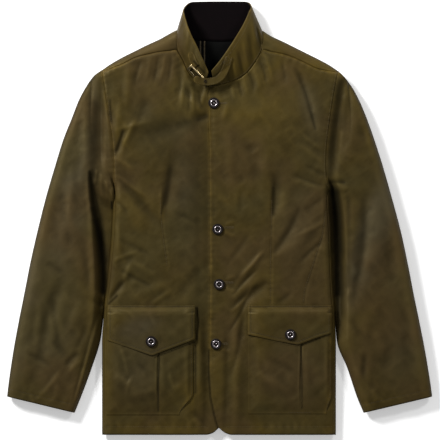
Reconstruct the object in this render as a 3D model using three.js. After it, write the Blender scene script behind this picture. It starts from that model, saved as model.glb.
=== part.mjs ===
import * as THREE from 'three';

// Waxed cotton jacket laid flat on its back, fronts buttoned, sleeves at its sides.
// Frame in mm: X across (wearer's left is +X), Y up the garment to the collar, Z up
// from the surface it lies on. Tables are in squares of the pattern grid, whose y
// column counts down from above the collar; square() turns a grid point into mm.

const GRID = 1.95;                 // side of a pattern grid square
const MID = { x: 219.5, y: 218.5 };  // grid point over the origin
const WALL = 1.8;                  // shell cloth with its backing
const LINING = 1.0;                // lining cloth
const SEAM = 0.3;                  // clearance between two cut pieces
const CURVED_SEAM = 1.3;           // the same where a seam runs in a curve
const ARM_GAP = 1.0;               // each side's share at the armholes
const LIFT = 0.7;                  // clearance under a piece laid on another
const EDGE = 16;                   // how far a folded side edge takes to round off
const SEAM_IN = 4.5;               // side seam, inside the body's side edge
const UNDERLAP = 3.6;              // drop of the under front below the over front
const STEP = 1e-3;                 // step of the slope measurements

const smooth = (a, b, t) => {
  const k = Math.min(1, Math.max(0, (t - a) / (b - a)));
  return k * k * (3 - 2 * k);
};
const mix = (a, b, t) => a + (b - a) * t;
const square = (x, y) => ({ x: (x - MID.x) * GRID, y: (MID.y - y) * GRID });

// Smooth monotone curve through one column of a table, over another column.
function curve(table, over, column) {
  const t = table.map((row) => row[over]);
  const p = table.map((row) => row[column]);
  const rise = t.slice(1).map((v, i) => (p[i + 1] - p[i]) / (v - t[i]));
  const slope = p.map((_, i) => {
    if (i === 0) return rise[0];
    if (i === p.length - 1) return rise[i - 1];
    if (rise[i - 1] * rise[i] <= 0) return 0;
    return 2 / (1 / rise[i - 1] + 1 / rise[i]);
  });
  return (at) => {
    if (at <= t[0]) return p[0];
    if (at >= t[t.length - 1]) return p[p.length - 1];
    let i = 0;
    while (at > t[i + 1]) i += 1;
    const h = t[i + 1] - t[i];
    const s = (at - t[i]) / h;
    const s2 = s * s;
    const s3 = s2 * s;
    return (2 * s3 - 3 * s2 + 1) * p[i] + (s3 - 2 * s2 + s) * h * slope[i]
      + (3 * s2 - 2 * s3) * p[i + 1] + (s3 - s2) * h * slope[i + 1];
  };
}

// Body outline: folded side edges, and above the armpits the line that the
// body would follow inside the sleeves. high is the loft between the surface
// and the top of the fronts.
const BODY = [
  { y: 30, left: 90, right: 350, high: 26 },
  { y: 80, left: 92, right: 348, high: 28 },
  { y: 120, left: 91, right: 350, high: 31 },
  { y: 150, left: 96, right: 347, high: 31 },
  { y: 168, left: 103, right: 341, high: 31 },
  { y: 178, left: 109.5, right: 335, high: 30 },
  { y: 187, left: 113, right: 329.5, high: 30 },
  { y: 200, left: 113, right: 329.3, high: 30 },
  { y: 230, left: 112, right: 331, high: 29 },
  { y: 260, left: 109.5, right: 332, high: 28 },
  { y: 285, left: 107, right: 333, high: 27 },
  { y: 300, left: 105, right: 334, high: 27 },
  { y: 320, left: 103.4, right: 335, high: 26 },
  { y: 343, left: 102, right: 336, high: 25 },
  { y: 435, left: 102, right: 336, high: 20 },
];
const SHOULDER = [  // silhouette of the folded shoulders and the neck opening
  { x: 102, y: 70 }, { x: 110, y: 64.5 }, { x: 123, y: 57 }, { x: 135, y: 51 },
  { x: 147, y: 45 }, { x: 160, y: 39 }, { x: 169, y: 34 }, { x: 177, y: 30 },
  { x: 220, y: 24 }, { x: 262, y: 30.5 }, { x: 270, y: 35.5 }, { x: 284, y: 42 },
  { x: 296, y: 48 }, { x: 308, y: 54 }, { x: 320, y: 60 }, { x: 330, y: 65.5 },
  { x: 338, y: 71 },
];
const NECK_LEFT = 176;             // grid column of the neck edge on one shoulder
const NECK_RIGHT = 263.3;          // and on the other
const ARM_LEFT = [  // armhole seam at the image's left, from shoulder to armpit
  { y: 70, x: 102 }, { y: 80, x: 103.4 }, { y: 110, x: 108 }, { y: 141, x: 112.6 },
  { y: 165, x: 114.2 }, { y: 178, x: 114.2 }, { y: 187, x: 113 },
];
const ARM_RIGHT = [
  { y: 71, x: 338 }, { y: 80, x: 336.3 }, { y: 110, x: 331.4 }, { y: 147, x: 326.6 },
  { y: 166, x: 325.8 }, { y: 178, x: 326.8 }, { y: 187, x: 329.5 },
];
const TOP_LEFT = [  // forward shoulder seam, then the neck edge of that front
  { x: 102, y: 71.6 }, { x: 110, y: 69 }, { x: 123, y: 64 }, { x: 136, y: 57.5 },
  { x: 148, y: 54.5 }, { x: 160, y: 52 }, { x: 170, y: 51 }, { x: 176, y: 50 },
  { x: 179, y: 55 }, { x: 182.5, y: 62 }, { x: 188, y: 74 }, { x: 195, y: 81 },
  { x: 203, y: 85 }, { x: 214, y: 87 }, { x: 240, y: 88 },
];
const TOP_RIGHT = [
  { x: 205, y: 88 }, { x: 216, y: 87 }, { x: 228, y: 84 }, { x: 240, y: 80 },
  { x: 249, y: 72.5 }, { x: 256, y: 63 }, { x: 260.5, y: 55 }, { x: 263.3, y: 50 },
  { x: 270, y: 51.7 }, { x: 282, y: 54 }, { x: 293, y: 57.5 }, { x: 305, y: 63 },
  { x: 318, y: 69 }, { x: 328, y: 71 }, { x: 338, y: 72.6 },
];
const NECK_BACK = [  // back neck seam, on the surface side
  { x: 176, y: 36.5 }, { x: 181, y: 38.5 }, { x: 192, y: 40.6 }, { x: 220, y: 42 },
  { x: 247, y: 40.6 }, { x: 258.5, y: 38.5 }, { x: 263.3, y: 36.5 },
];
const PLACKET = [  // edge of the over front, with its cut-away lower corner
  { y: 80, x: 208.6 }, { y: 115, x: 209 }, { y: 150, x: 210 }, { y: 290, x: 210.6 },
  { y: 371, x: 209.6 }, { y: 397, x: 211.3 }, { y: 414, x: 214.8 }, { y: 428, x: 218.8 },
  { y: 436, x: 222 },
];
const UNDER_EDGE = 228;            // grid column of the under front's hidden edge
const HEM = 434.8;                 // grid row of the hem
const HEM_LEFT = [  // hem of each front, rising to its rounded corner
  { x: 100, y: 434.8 }, { x: 206, y: 434.8 }, { x: 212, y: 433.4 },
  { x: 219, y: 427.6 }, { x: 231, y: 412 },
];
const HEM_RIGHT = [
  { x: 208, y: 420 }, { x: 219, y: 428 }, { x: 225.5, y: 433 }, { x: 232, y: 434.8 },
  { x: 340, y: 434.8 },
];

// Sleeve sections from armhole to cuff: outer fold point, inner fold point, loft,
// where across the section the cloth falls away, and the loft beyond the fall.
const SLEEVE_LEFT = [
  { ox: 102, oy: 70, ix: 113, iy: 187, high: 30, fall: 0.96, low: 29 },
  { ox: 93.5, oy: 76.5, ix: 112.7, iy: 189, high: 31, fall: 0.93, low: 26 },
  { ox: 86, oy: 87, ix: 112.7, iy: 191.5, high: 32, fall: 0.9, low: 22 },
  { ox: 79, oy: 100, ix: 112.7, iy: 195, high: 33, fall: 0.86, low: 20 },
  { ox: 71.5, oy: 119, ix: 112.7, iy: 199, high: 34, fall: 0.82, low: 17 },
  { ox: 63.5, oy: 139, ix: 112.6, iy: 205, high: 34, fall: 0.79, low: 14 },
  { ox: 54.5, oy: 168, ix: 112.2, iy: 213, high: 34, fall: 0.77, low: 12 },
  { ox: 45.5, oy: 199, ix: 111.4, iy: 225, high: 34, fall: 0.79, low: 11 },
  { ox: 38, oy: 229, ix: 110, iy: 246, high: 34, fall: 0.83, low: 10 },
  { ox: 30.5, oy: 262, ix: 107.3, iy: 280, high: 33, fall: 0.9, low: 11 },
  { ox: 25, oy: 290, ix: 104.3, iy: 308.6, high: 32, fall: 0.95, low: 14 },
  { ox: 19, oy: 320, ix: 100.6, iy: 339, high: 31, fall: 0.97, low: 20 },
  { ox: 13.5, oy: 350, ix: 91.6, iy: 368.4, high: 29, fall: 0.98, low: 24 },
  { ox: 9, oy: 380, ix: 81, iy: 397, high: 27, fall: 0.98, low: 25 },
  { ox: 7, oy: 396.5, ix: 74.6, iy: 412.8, high: 25, fall: 0.98, low: 24 },
];
const SLEEVE_RIGHT = [
  { ox: 338, oy: 71, ix: 329.5, iy: 187, high: 30, fall: 0.96, low: 29 },
  { ox: 345, oy: 78, ix: 329.8, iy: 189, high: 31, fall: 0.93, low: 27 },
  { ox: 352.5, oy: 88, ix: 329.8, iy: 192, high: 32, fall: 0.91, low: 23 },
  { ox: 359.5, oy: 101, ix: 329.8, iy: 196, high: 33, fall: 0.88, low: 19 },
  { ox: 367, oy: 119, ix: 329.9, iy: 200, high: 34, fall: 0.86, low: 15 },
  { ox: 375.5, oy: 143, ix: 330.3, iy: 207, high: 34, fall: 0.84, low: 12 },
  { ox: 384, oy: 170, ix: 330.9, iy: 216, high: 34, fall: 0.84, low: 10 },
  { ox: 392.5, oy: 200, ix: 331.5, iy: 229, high: 34, fall: 0.85, low: 10 },
  { ox: 401, oy: 232, ix: 332, iy: 250, high: 34, fall: 0.87, low: 10 },
  { ox: 408.7, oy: 268, ix: 333.2, iy: 284, high: 33, fall: 0.88, low: 11 },
  { ox: 413.5, oy: 293, ix: 334.5, iy: 311.6, high: 32, fall: 0.92, low: 13 },
  { ox: 419.5, oy: 322, ix: 337, iy: 341.6, high: 31, fall: 0.96, low: 20 },
  { ox: 425, oy: 350, ix: 347.4, iy: 368.4, high: 29, fall: 0.98, low: 24 },
  { ox: 430, oy: 380, ix: 357, iy: 397, high: 27, fall: 0.98, low: 25 },
  { ox: 432.3, oy: 396.5, ix: 363.6, iy: 412.8, high: 25, fall: 0.98, low: 24 },
];
const CAP_PART = 0.36;             // share of the sleeve shaped by the armhole

// Folds in the cloth: soft lines from (x, y) to (tx, ty), half width wide in grid
// squares, raised by up mm (sunk where negative).
const FOLDS = [
  { x: 150, y: 131, tx: 205, ty: 113, wide: 7, up: -4.2 },
  { x: 134, y: 112, tx: 188, ty: 98, wide: 9, up: 2.4 },
  { x: 119, y: 92, tx: 126, ty: 150, wide: 4, up: -2.6 },
  { x: 127, y: 80, tx: 141, ty: 118, wide: 5, up: 1.8 },
  { x: 169, y: 168, tx: 163, ty: 232, wide: 4, up: -3.2 },
  { x: 178, y: 150, tx: 175, ty: 230, wide: 6, up: 1.8 },
  { x: 118, y: 214, tx: 158, ty: 246, wide: 5, up: 1.8 },
  { x: 120, y: 297, tx: 168, ty: 262, wide: 6, up: -3 },
  { x: 150, y: 300, tx: 200, ty: 276, wide: 5, up: 1.6 },
  { x: 203.5, y: 318, tx: 204, ty: 425, wide: 4, up: -2.4 },
  { x: 301, y: 84, tx: 320, ty: 150, wide: 4.5, up: -2.6 },
  { x: 289, y: 70, tx: 306, ty: 140, wide: 7, up: 1.6 },
  { x: 276, y: 150, tx: 272, ty: 214, wide: 4, up: -3.2 },
  { x: 266, y: 140, tx: 264, ty: 220, wide: 6, up: 1.4 },
  { x: 318, y: 196, tx: 284, ty: 236, wide: 5, up: 1.8 },
  { x: 226, y: 303, tx: 282, ty: 252, wide: 5, up: -2.6 },
  { x: 230, y: 286, tx: 262, ty: 250, wide: 5, up: 1.6 },
  { x: 235, y: 318, tx: 234.5, ty: 430, wide: 4.5, up: 2.6 },
  { x: 243, y: 322, tx: 242, ty: 430, wide: 4, up: -2 },
  { x: 88, y: 92, tx: 93, ty: 158, wide: 5, up: -3.4 },
  { x: 99, y: 92, tx: 105, ty: 160, wide: 4, up: 2.2 },
  { x: 70, y: 132, tx: 58, ty: 210, wide: 8, up: 1.8 },
  { x: 62, y: 236, tx: 82, ty: 300, wide: 7, up: -2.4 },
  { x: 38, y: 300, tx: 30, ty: 386, wide: 7, up: -2 },
  { x: 345, y: 96, tx: 337, ty: 168, wide: 4.5, up: -3.2 },
  { x: 354, y: 180, tx: 340, ty: 187, wide: 3.5, up: -2.6 },
  { x: 366, y: 138, tx: 378, ty: 214, wide: 8, up: 1.8 },
  { x: 372, y: 240, tx: 352, ty: 316, wide: 7, up: -2.4 },
  { x: 398, y: 300, tx: 406, ty: 386, wide: 7, up: -2 },
];

function foldHeight(x, y) {
  let sum = 0;
  for (const f of FOLDS) {
    const a = square(f.x, f.y);
    const b = square(f.tx, f.ty);
    const long = Math.hypot(b.x - a.x, b.y - a.y);
    const ux = (b.x - a.x) / long;
    const uy = (b.y - a.y) / long;
    const on = (x - a.x) * ux + (y - a.y) * uy;
    const off = ((y - a.y) * ux - (x - a.x) * uy) / (f.wide * GRID);
    const ends = smooth(-0.15, 0.3, on / long) * (1 - smooth(0.7, 1.15, on / long));
    sum += f.up * ends * Math.exp(-off * off);
  }
  return sum;
}

// Body edges in mm as functions of a point, and the rounding of its folded edges.
const gridX = (x) => x / GRID + MID.x;
const gridY = (y) => MID.y - y / GRID;
const column = (table, over, name) => curve(table, over, name);
const bodyLeft = column(BODY, 'y', 'left');
const bodyRight = column(BODY, 'y', 'right');
const bodyHigh = column(BODY, 'y', 'high');
const shoulderY = column(SHOULDER, 'x', 'y');
const armLeft = column(ARM_LEFT, 'y', 'x');
const armRight = column(ARM_RIGHT, 'y', 'x');
const SHOULDER_COS = 0.87;         // cosine of the shoulder slope

function edgeShare(x, y) {
  const gx = gridX(x);
  const gy = gridY(y);
  const inL = (gx - bodyLeft(gy)) * GRID;
  const inR = (bodyRight(gy) - gx) * GRID;
  const inS = (gy - shoulderY(gx)) * GRID * SHOULDER_COS;
  const r = 1 - Math.min(1, Math.max(0, Math.min(inL, inR, inS) / EDGE));
  return Math.sqrt(Math.max(0, 1 - r * r));
}
function bodyTop(x, y) {
  const g = edgeShare(x, y);
  return bodyHigh(gridY(y)) * 0.5 * (1 + g) + foldHeight(x, y) * g * g;
}
const bodyUnder = (x, y) => bodyHigh(gridY(y)) * 0.5 * (1 - edgeShare(x, y));

// Arc position along a rounded edge from a distance inside it, and back.
const ARC = EDGE * Math.PI / 2;
const unfold = (inside) => (inside < EDGE
  ? ARC * Math.acos(1 - Math.max(0, inside) / EDGE) * 2 / Math.PI
  : ARC + inside - EDGE);
const refold = (arc) => (arc < ARC ? EDGE * (1 - Math.cos(arc / ARC * Math.PI / 2))
  : EDGE + arc - ARC);

// A wall of cloth: its outer face from at(u, v), its inner face moved in along the
// normal, and rims where the grid ends. keep(i, j) leaves cells out; ring closes u.
function cloth({ at, us, vs, wall, flip = 1, keep = () => true, ring = false, inset = 0 }) {
  const nu = us.length;
  const nv = vs.length;
  const outer = [];
  const inner = [];
  const slope = (u, v) => {
    const a = new THREE.Vector3(...at(Math.min(1, u + STEP), v));
    const b = new THREE.Vector3(...at(Math.max(0, u - STEP), v));
    const c = new THREE.Vector3(...at(u, Math.min(1, v + STEP)));
    const d = new THREE.Vector3(...at(u, Math.max(0, v - STEP)));
    return a.sub(b).cross(c.sub(d)).multiplyScalar(flip);
  };
  for (let j = 0; j < nv; j += 1) {
    for (let i = 0; i < nu; i += 1) {
      const p = new THREE.Vector3(...at(us[i], vs[j]));
      let n = slope(us[i], vs[j]);
      if (n.length() < 1e-9) {
        n = slope(mix(us[i], 0.5, 0.02), mix(vs[j], 0.5, 0.02));
      }
      n.normalize();
      outer.push(p.clone().addScaledVector(n, -inset));
      inner.push(p.clone().addScaledVector(n, -inset - wall));
    }
  }
  const ids = new Map();
  const points = [];
  const id = (face, i, j) => {
    const key = face * nu * nv + j * nu + (ring ? i % nu : i);
    if (!ids.has(key)) {
      ids.set(key, points.length / 3);
      const p = (face ? inner : outer)[key - face * nu * nv];
      points.push(p.x, p.y, p.z);
    }
    return ids.get(key);
  };
  const index = [];
  const quad = (a, b, c, d) => {
    if (flip > 0) index.push(a, b, c, a, c, d);
    else index.push(a, c, b, a, d, c);
  };
  const cellsU = ring ? nu : nu - 1;
  const has = (i, j) => j >= 0 && j < nv - 1 && (ring || (i >= 0 && i < cellsU))
    && keep((i + cellsU) % cellsU, j);
  for (let j = 0; j < nv - 1; j += 1) {
    for (let i = 0; i < cellsU; i += 1) {
      if (!has(i, j)) continue;
      quad(id(0, i, j), id(0, i + 1, j), id(0, i + 1, j + 1), id(0, i, j + 1));
      quad(id(1, i, j), id(1, i, j + 1), id(1, i + 1, j + 1), id(1, i + 1, j));
      if (!has(i, j - 1)) quad(id(1, i, j), id(1, i + 1, j), id(0, i + 1, j), id(0, i, j));
      if (!has(i, j + 1)) {
        quad(id(0, i, j + 1), id(0, i + 1, j + 1), id(1, i + 1, j + 1), id(1, i, j + 1));
      }
      if (!has(i - 1, j)) quad(id(0, i, j), id(0, i, j + 1), id(1, i, j + 1), id(1, i, j));
      if (!has(i + 1, j)) {
        quad(id(1, i + 1, j), id(1, i + 1, j + 1), id(0, i + 1, j + 1), id(0, i + 1, j));
      }
    }
  }
  const geometry = new THREE.BufferGeometry();
  geometry.setAttribute('position', new THREE.Float32BufferAttribute(points, 3));
  geometry.setIndex(index);
  geometry.computeVertexNormals();
  return geometry;
}

const even = (count) => Array.from({ length: count + 1 }, (_, i) => i / count);

// Back: one piece from shoulder seams to hem. It wraps over the shoulders to their
// forward seams and round the side edges to the side seams.
const topLeft = column(TOP_LEFT, 'x', 'y');
const topRight = column(TOP_RIGHT, 'x', 'y');
const neckBack = column(NECK_BACK, 'x', 'y');
const SHOULDER_ROWS = 9;
const BACK_ROWS = 20;
const SHOULDER_V = 0.3;            // share of v given to the shoulder rows
const BACK_SPAN = 236;             // grid width between the two shoulder points
const NECK_U = [(NECK_LEFT - 102) / BACK_SPAN, (NECK_RIGHT - 102) / BACK_SPAN];

// Where a row of the back starts: at the armhole, or at the side seam on top.
function sideArc(gy, arm, edge, first, sign) {
  const y = Math.max(first, gy);
  if (gy < 187) return unfold(Math.max(0, sign * (arm(y) - edge(gy)) * GRID + ARM_GAP));
  return mix(unfold(ARM_GAP), -unfold(SEAM_IN), smooth(187, 197, gy));
}
function backLow(gx) {
  if (gx > NECK_LEFT + STEP && gx < NECK_RIGHT - STEP) return neckBack(gx);
  const away = Math.min(Math.abs(gx - 102), Math.abs(gx - 338)) / (NECK_LEFT - 102);
  return shoulderY(gx) + mix(12, 6.5, smooth(0, 1, away));
}
function backPoint(u, v) {
  let gx = 102 + BACK_SPAN * u;
  const low = backLow(gx);
  if (v < SHOULDER_V) {
    let y = low;
    let arc = 0;
    for (let n = 0; n < 4; n += 1) {
      gx = mix(armLeft(y) + ARM_GAP / GRID, armRight(y) - ARM_GAP / GRID, u);
      const ridge = shoulderY(gx);
      const seam = (gx < MID.x ? topLeft : topRight)(gx) - CURVED_SEAM / GRID;
      const from = -unfold(Math.max(0.01, seam - ridge) * GRID * SHOULDER_COS);
      const to = unfold((low - ridge) * GRID * SHOULDER_COS);
      arc = mix(from, to, v / SHOULDER_V);
      y = ridge + refold(Math.abs(arc)) / GRID / SHOULDER_COS;
    }
    const p = square(gx, y);
    return [p.x, p.y, (arc < 0 ? bodyTop : bodyUnder)(p.x, p.y)];
  }
  const gy = mix(low, HEM, (v - SHOULDER_V) / (1 - SHOULDER_V));
  const edgeL = bodyLeft(gy);
  const edgeR = bodyRight(gy);
  const whole = (edgeR - edgeL) * GRID - 2 * EDGE + 2 * ARC;
  const from = sideArc(gy, armLeft, bodyLeft, 70, 1);
  const to = sideArc(gy, armRight, bodyRight, 71, -1);
  const arc = mix(from, whole - to, u);
  const fromRight = arc > whole / 2;
  const own = fromRight ? whole - arc : arc;
  const inside = refold(Math.abs(own));
  const x = fromRight ? square(edgeR, 0).x - inside : square(edgeL, 0).x + inside;
  const y = square(0, gy).y;
  return [x, y, (own < 0 ? bodyTop : bodyUnder)(x, y)];
}
const SIDE_U = [0, 0.012, 0.026, 0.045, 0.075, 0.12, 0.18, 0.245];
const backU = [...SIDE_U, NECK_U[0], 0.39, 0.46, 0.54, 0.61, NECK_U[1],
  ...SIDE_U.map((u) => 1 - u).reverse()];
const backV = [...even(SHOULDER_ROWS).map((t) => t * SHOULDER_V),
  ...even(BACK_ROWS).slice(1).map((t) => mix(SHOULDER_V, 1, t))];
const neckCell = (i) => i >= SIDE_U.length && i < backU.length - SIDE_U.length - 1;

// Fronts: the top edge is the shoulder seam and the neck edge, the sides are the
// armhole with the side seam and the front edge.
function frontPoint({ top, hem, from, to, drop }) {
  return (u, v) => {
    let gy = 90;
    let gx = 0;
    for (let n = 0; n < 30; n += 1) {
      gx = mix(from(gy), to(gy), u);
      gy = mix(gy, top(gx), 0.7);
    }
    let low = HEM;
    for (let n = 0; n < 30; n += 1) low = mix(low, hem(mix(from(low), to(low), u)), 0.7);
    gy = mix(gy, low, v);
    gx = mix(from(gy), to(gy), u);
    const p = square(gx, gy);
    return [p.x, p.y, bodyTop(p.x, p.y) - drop(gx)];
  };
}
const sideX = (arm, edge, first, sign) => (gy) => {
  const g = Math.max(first, gy);
  if (g < 187) return arm(g) + sign * ARM_GAP / GRID;
  return edge(g) + sign * (mix(ARM_GAP, SEAM_IN + 2 * SEAM, smooth(187, 197, g))) / GRID;
};
const placketEdge = column(PLACKET, 'y', 'x');
const frontRightAt = frontPoint({
  top: topLeft,
  hem: column(HEM_LEFT, 'x', 'y'),
  from: sideX(armLeft, bodyLeft, 71.6, 1),
  to: () => UNDER_EDGE,
  drop: (gx) => UNDERLAP * smooth(186, 205, gx),
});
const frontLeftAt = frontPoint({
  top: topRight,
  hem: column(HEM_RIGHT, 'x', 'y'),
  from: placketEdge,
  to: sideX(armRight, bodyRight, 72.6, -1),
  drop: () => 0,
});
const FRONT_U = [0, 0.03, 0.065, 0.105, 0.16, 0.225, 0.29, 0.355, 0.42, 0.485, 0.55, 0.615,
  0.68, 0.745, 0.81, 0.875, 0.94, 1];
const frontV = [0, 0.012, 0.03, 0.055, 0.085, ...even(21).slice(1).map((t) => mix(0.085, 1, t))];

// Sleeves: closed rings that fan round the armpit, with the loft of each section
// falling away toward the body; the first rings take the body's own heights.
function sleevePoint(table, arm, first, sign) {
  const rows = table.map((row, n) => ({ ...row, n }));
  const names = ['ox', 'oy', 'ix', 'iy', 'high', 'fall', 'low'];
  const get = Object.fromEntries(names.map((name) => [name, curve(rows, 'n', name)]));
  const ROUND = 0.14;
  return (u, v) => {
    const n = v * (table.length - 1);
    const s = Object.fromEntries(names.map((name) => [name, get[name](n)]));
    const under = u > 0.5;
    const w = under ? 2 - 2 * u : 2 * u;
    const a = square(s.ox, s.oy);
    const b = square(s.ix, s.iy);
    const long = Math.hypot(b.x - a.x, b.y - a.y);
    const inner = Math.min(EDGE, s.low * 0.6);
    let c = mix(EDGE, long - inner, (w - ROUND) / (1 - 2 * ROUND));
    let g = 1;
    if (w < ROUND) {
      const turn = w / ROUND * Math.PI / 2;
      c = EDGE * (1 - Math.cos(turn));
      g = Math.sin(turn);
    } else if (w > 1 - ROUND) {
      const turn = (1 - w) / ROUND * Math.PI / 2;
      c = long - inner * (1 - Math.cos(turn));
      g = Math.sin(turn);
    }
    const part = c / long;
    const near = 1 - smooth(0, CAP_PART, v);
    const gy = mix(first, 187, part);
    const chord = mix(table[0].ox, table[0].ix, part);
    const x = mix(a.x, b.x, part) + (arm(gy) - chord) * GRID * near - sign * ARM_GAP * near;
    const y = mix(a.y, b.y, part);
    const high = mix(s.high, s.low, smooth(s.fall - 0.1, s.fall + 0.02, part));
    const own = under ? high * (1 - g) / 2 : high * (1 + g) / 2 + foldHeight(x, y) * g * g;
    const body = (under ? bodyUnder : bodyTop)(x + sign * ARM_GAP, y);
    return [x, y, mix(own, body, near ** 3)];
  };
}
const SLEEVE_U = [0, 0.025, 0.05, 0.075, 0.12, 0.18, 0.24, 0.3, 0.35, 0.39, 0.43, 0.455, 0.48,
  0.5, 0.52, 0.545, 0.57, 0.65, 0.77, 0.88, 0.93, 0.955, 0.98];
const sleeveV = [0, 0.035, 0.07, 0.11, 0.15, 0.19, 0.24, 0.29, 0.34, 0.4, 0.46, 0.52, 0.58,
  0.64, 0.7, 0.76, 0.82, 0.88, 0.94, 1];

// Collar: a standing band round the neck. Base points follow the neck edge, top
// points the free edge; over is 1 where the base lies on the fronts, -1 on the back.
const COLLAR = [
  { bx: 204.5, by: 85, over: 1, tx: 208.6, ty: 72.6, tz: 47, bow: 5 },
  { bx: 195.8, by: 80.4, over: 1, tx: 203, ty: 59.6, tz: 50, bow: 7 },
  { bx: 188.8, by: 73.4, over: 1, tx: 197.4, ty: 47.2, tz: 51, bow: 7 },
  { bx: 183.2, by: 61.4, over: 1, tx: 191.8, ty: 36, tz: 50, bow: 7 },
  { bx: 177.4, by: 49, over: 1, tx: 187, ty: 24, tz: 46, bow: 6 },
  { bx: 176.6, by: 39, over: 1, tx: 184.4, ty: 16, tz: 39, bow: 5 },
  { bx: 176.7, by: 31, over: 0, tx: 183.2, ty: 10.5, tz: 28, bow: 4 },
  { bx: 177.4, by: 35.6, over: -1, tx: 185.8, ty: 5.4, tz: 16, bow: 2 },
  { bx: 184, by: 38.2, over: -1, tx: 193, ty: 1.7, tz: 9, bow: 1 },
  { bx: 220, by: 41.2, over: -1, tx: 219, ty: 1.2, tz: 7, bow: 0 },
  { bx: 255, by: 38.2, over: -1, tx: 244.5, ty: 1.4, tz: 9, bow: 1 },
  { bx: 261.9, by: 35.6, over: -1, tx: 249.8, ty: 3.2, tz: 16, bow: 2 },
  { bx: 262.6, by: 31.4, over: 0, tx: 251.6, ty: 7, tz: 28, bow: 4 },
  { bx: 262.8, by: 39, over: 1, tx: 249, ty: 12.6, tz: 39, bow: 5 },
  { bx: 261.9, by: 49.6, over: 1, tx: 243, ty: 25.6, tz: 46, bow: 6 },
  { bx: 255.4, by: 62.4, over: 1, tx: 235.6, ty: 38.4, tz: 50, bow: 7 },
  { bx: 245.4, by: 74.6, over: 1, tx: 227, ty: 51.4, tz: 51, bow: 7 },
  { bx: 231, by: 82.2, over: 1, tx: 218.8, ty: 62.8, tz: 50, bow: 7 },
  { bx: 214.6, by: 86.2, over: 1, tx: 211.4, ty: 71.6, tz: 48, bow: 5 },
];
const collarRows = COLLAR.map((row, n) => {
  const p = square(row.bx, row.by);
  const half = bodyHigh(row.by) / 2;
  const z = row.over > 0 ? bodyTop(p.x, p.y) : row.over < 0 ? 0 : half;
  return { ...row, n, bz: z };
});
const collarGet = Object.fromEntries(['bx', 'by', 'bz', 'tx', 'ty', 'tz', 'bow']
  .map((name) => [name, curve(collarRows, 'n', name)]));
function collarPoint(u, v) {
  const n = u * (COLLAR.length - 1);
  const s = Object.fromEntries(Object.keys(collarGet).map((k) => [k, collarGet[k](n)]));
  const base = new THREE.Vector3(square(s.bx, s.by).x, square(s.bx, s.by).y, s.bz);
  const top = new THREE.Vector3(square(s.tx, s.ty).x, square(s.tx, s.ty).y, s.tz);
  const p = base.clone().lerp(top, v);
  const lift = s.bow * 4 * v * (1 - v);
  const rise = Math.min(1, s.bz / 14);
  return [p.x, p.y, p.z + lift * rise];
}
const collarU = even(36);
const collarV = even(5);

// Heights of pieces already made, for what is laid on them.
function topOf(geometries) {
  const tri = [];
  for (const g of geometries) {
    const p = g.attributes.position;
    const at = (k) => [p.getX(k), p.getY(k), p.getZ(k)];
    for (let k = 0; k < g.index.count; k += 3) {
      tri.push([at(g.index.getX(k)), at(g.index.getX(k + 1)), at(g.index.getX(k + 2))]);
    }
  }
  return (x, y) => {
    let best = 0;
    for (const [a, b, c] of tri) {
      const d = (b[0] - a[0]) * (c[1] - a[1]) - (c[0] - a[0]) * (b[1] - a[1]);
      if (Math.abs(d) < 1e-9) continue;
      const s = ((x - a[0]) * (c[1] - a[1]) - (c[0] - a[0]) * (y - a[1])) / d;
      const t = ((b[0] - a[0]) * (y - a[1]) - (x - a[0]) * (b[1] - a[1])) / d;
      if (s < -1e-6 || t < -1e-6 || s + t > 1 + 1e-6) continue;
      best = Math.max(best, a[2] + s * (b[2] - a[2]) + t * (c[2] - a[2]));
    }
    return best;
  };
}

// Pocket bags and flaps, laid on the fronts. Each outline is given as two edge
// curves over the grid rows, so corners can be cut and flaps pointed.
const BAG_LEFT = { y0: 313, y1: 415, x0: 106.4, x1: 193, cut: 13.5, cutSide: 1, pleat: 158.4, puff: 3.2 };
const BAG_RIGHT = { y0: 313, y1: 414, x0: 248, x1: 331.6, cut: 0, cutSide: 0, pleat: 301, puff: 3.1 };
const FLAP_LEFT = [  // lower edge of each flap over the grid columns
  { x: 107.2, y: 340 }, { x: 152, y: 355.5 }, { x: 195.4, y: 339 },
];
const FLAP_RIGHT = [
  { x: 247.6, y: 335.5 }, { x: 262, y: 337.8 }, { x: 294, y: 346.4 }, { x: 332, y: 333.4 },
];
const FLAP_TOP = { left: 305.5, right: 305.5 };
const REACH = 5;                   // how far a flap feels for the bag below it
const AROUND = [[0, 0], [REACH, 0], [-REACH, 0], [0, REACH], [0, 2 * REACH], [0, -REACH / 2],
  [REACH, REACH], [-REACH, REACH]];

function bagLoft(bag, gx, gy) {
  const side = smooth(0, 9, gx - bag.x0) * smooth(0, 9, bag.x1 - gx) * smooth(0, 12, bag.y1 - gy);
  const groove = Math.exp(-(((gx - bag.pleat) / 1.7) ** 2)) * smooth(320, 345, gy);
  return bag.puff * side - 1.6 * groove * side;
}
function bagPoint(bag, ground) {
  return (u, v) => {
    const gy = mix(bag.y0, bag.y1, v);
    const cut = bag.cut * smooth(0, 1, (gy - (bag.y1 - 21)) / 21) ** 0.8;
    const gx = mix(bag.x0, bag.x1 - (bag.cutSide > 0 ? cut : 0), u);
    const p = square(gx, gy);
    return [p.x, p.y, ground(p.x, p.y) + LIFT + WALL + bagLoft(bag, gx, gy)];
  };
}
function flapPoint(low, top, x0, x1, ground, over) {
  return (u, v) => {
    const gx = mix(x0, x1, u);
    const gy = mix(top, low(gx), v);
    const p = square(gx, gy);
    const under = ground(p.x, p.y);
    const most = Math.max(...AROUND.map(([dx, dy]) => over(p.x + dx, p.y - dy) - under));
    return [p.x, p.y, under + Math.max(0, most) * smooth(306, 311, gy) + LIFT + WALL];
  };
}
const straight = (table) => (gx) => {
  let i = 0;
  while (i < table.length - 2 && gx > table[i + 1].x) i += 1;
  const a = table[i];
  const b = table[i + 1];
  return mix(a.y, b.y, (gx - a.x) / (b.x - a.x));
};

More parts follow.
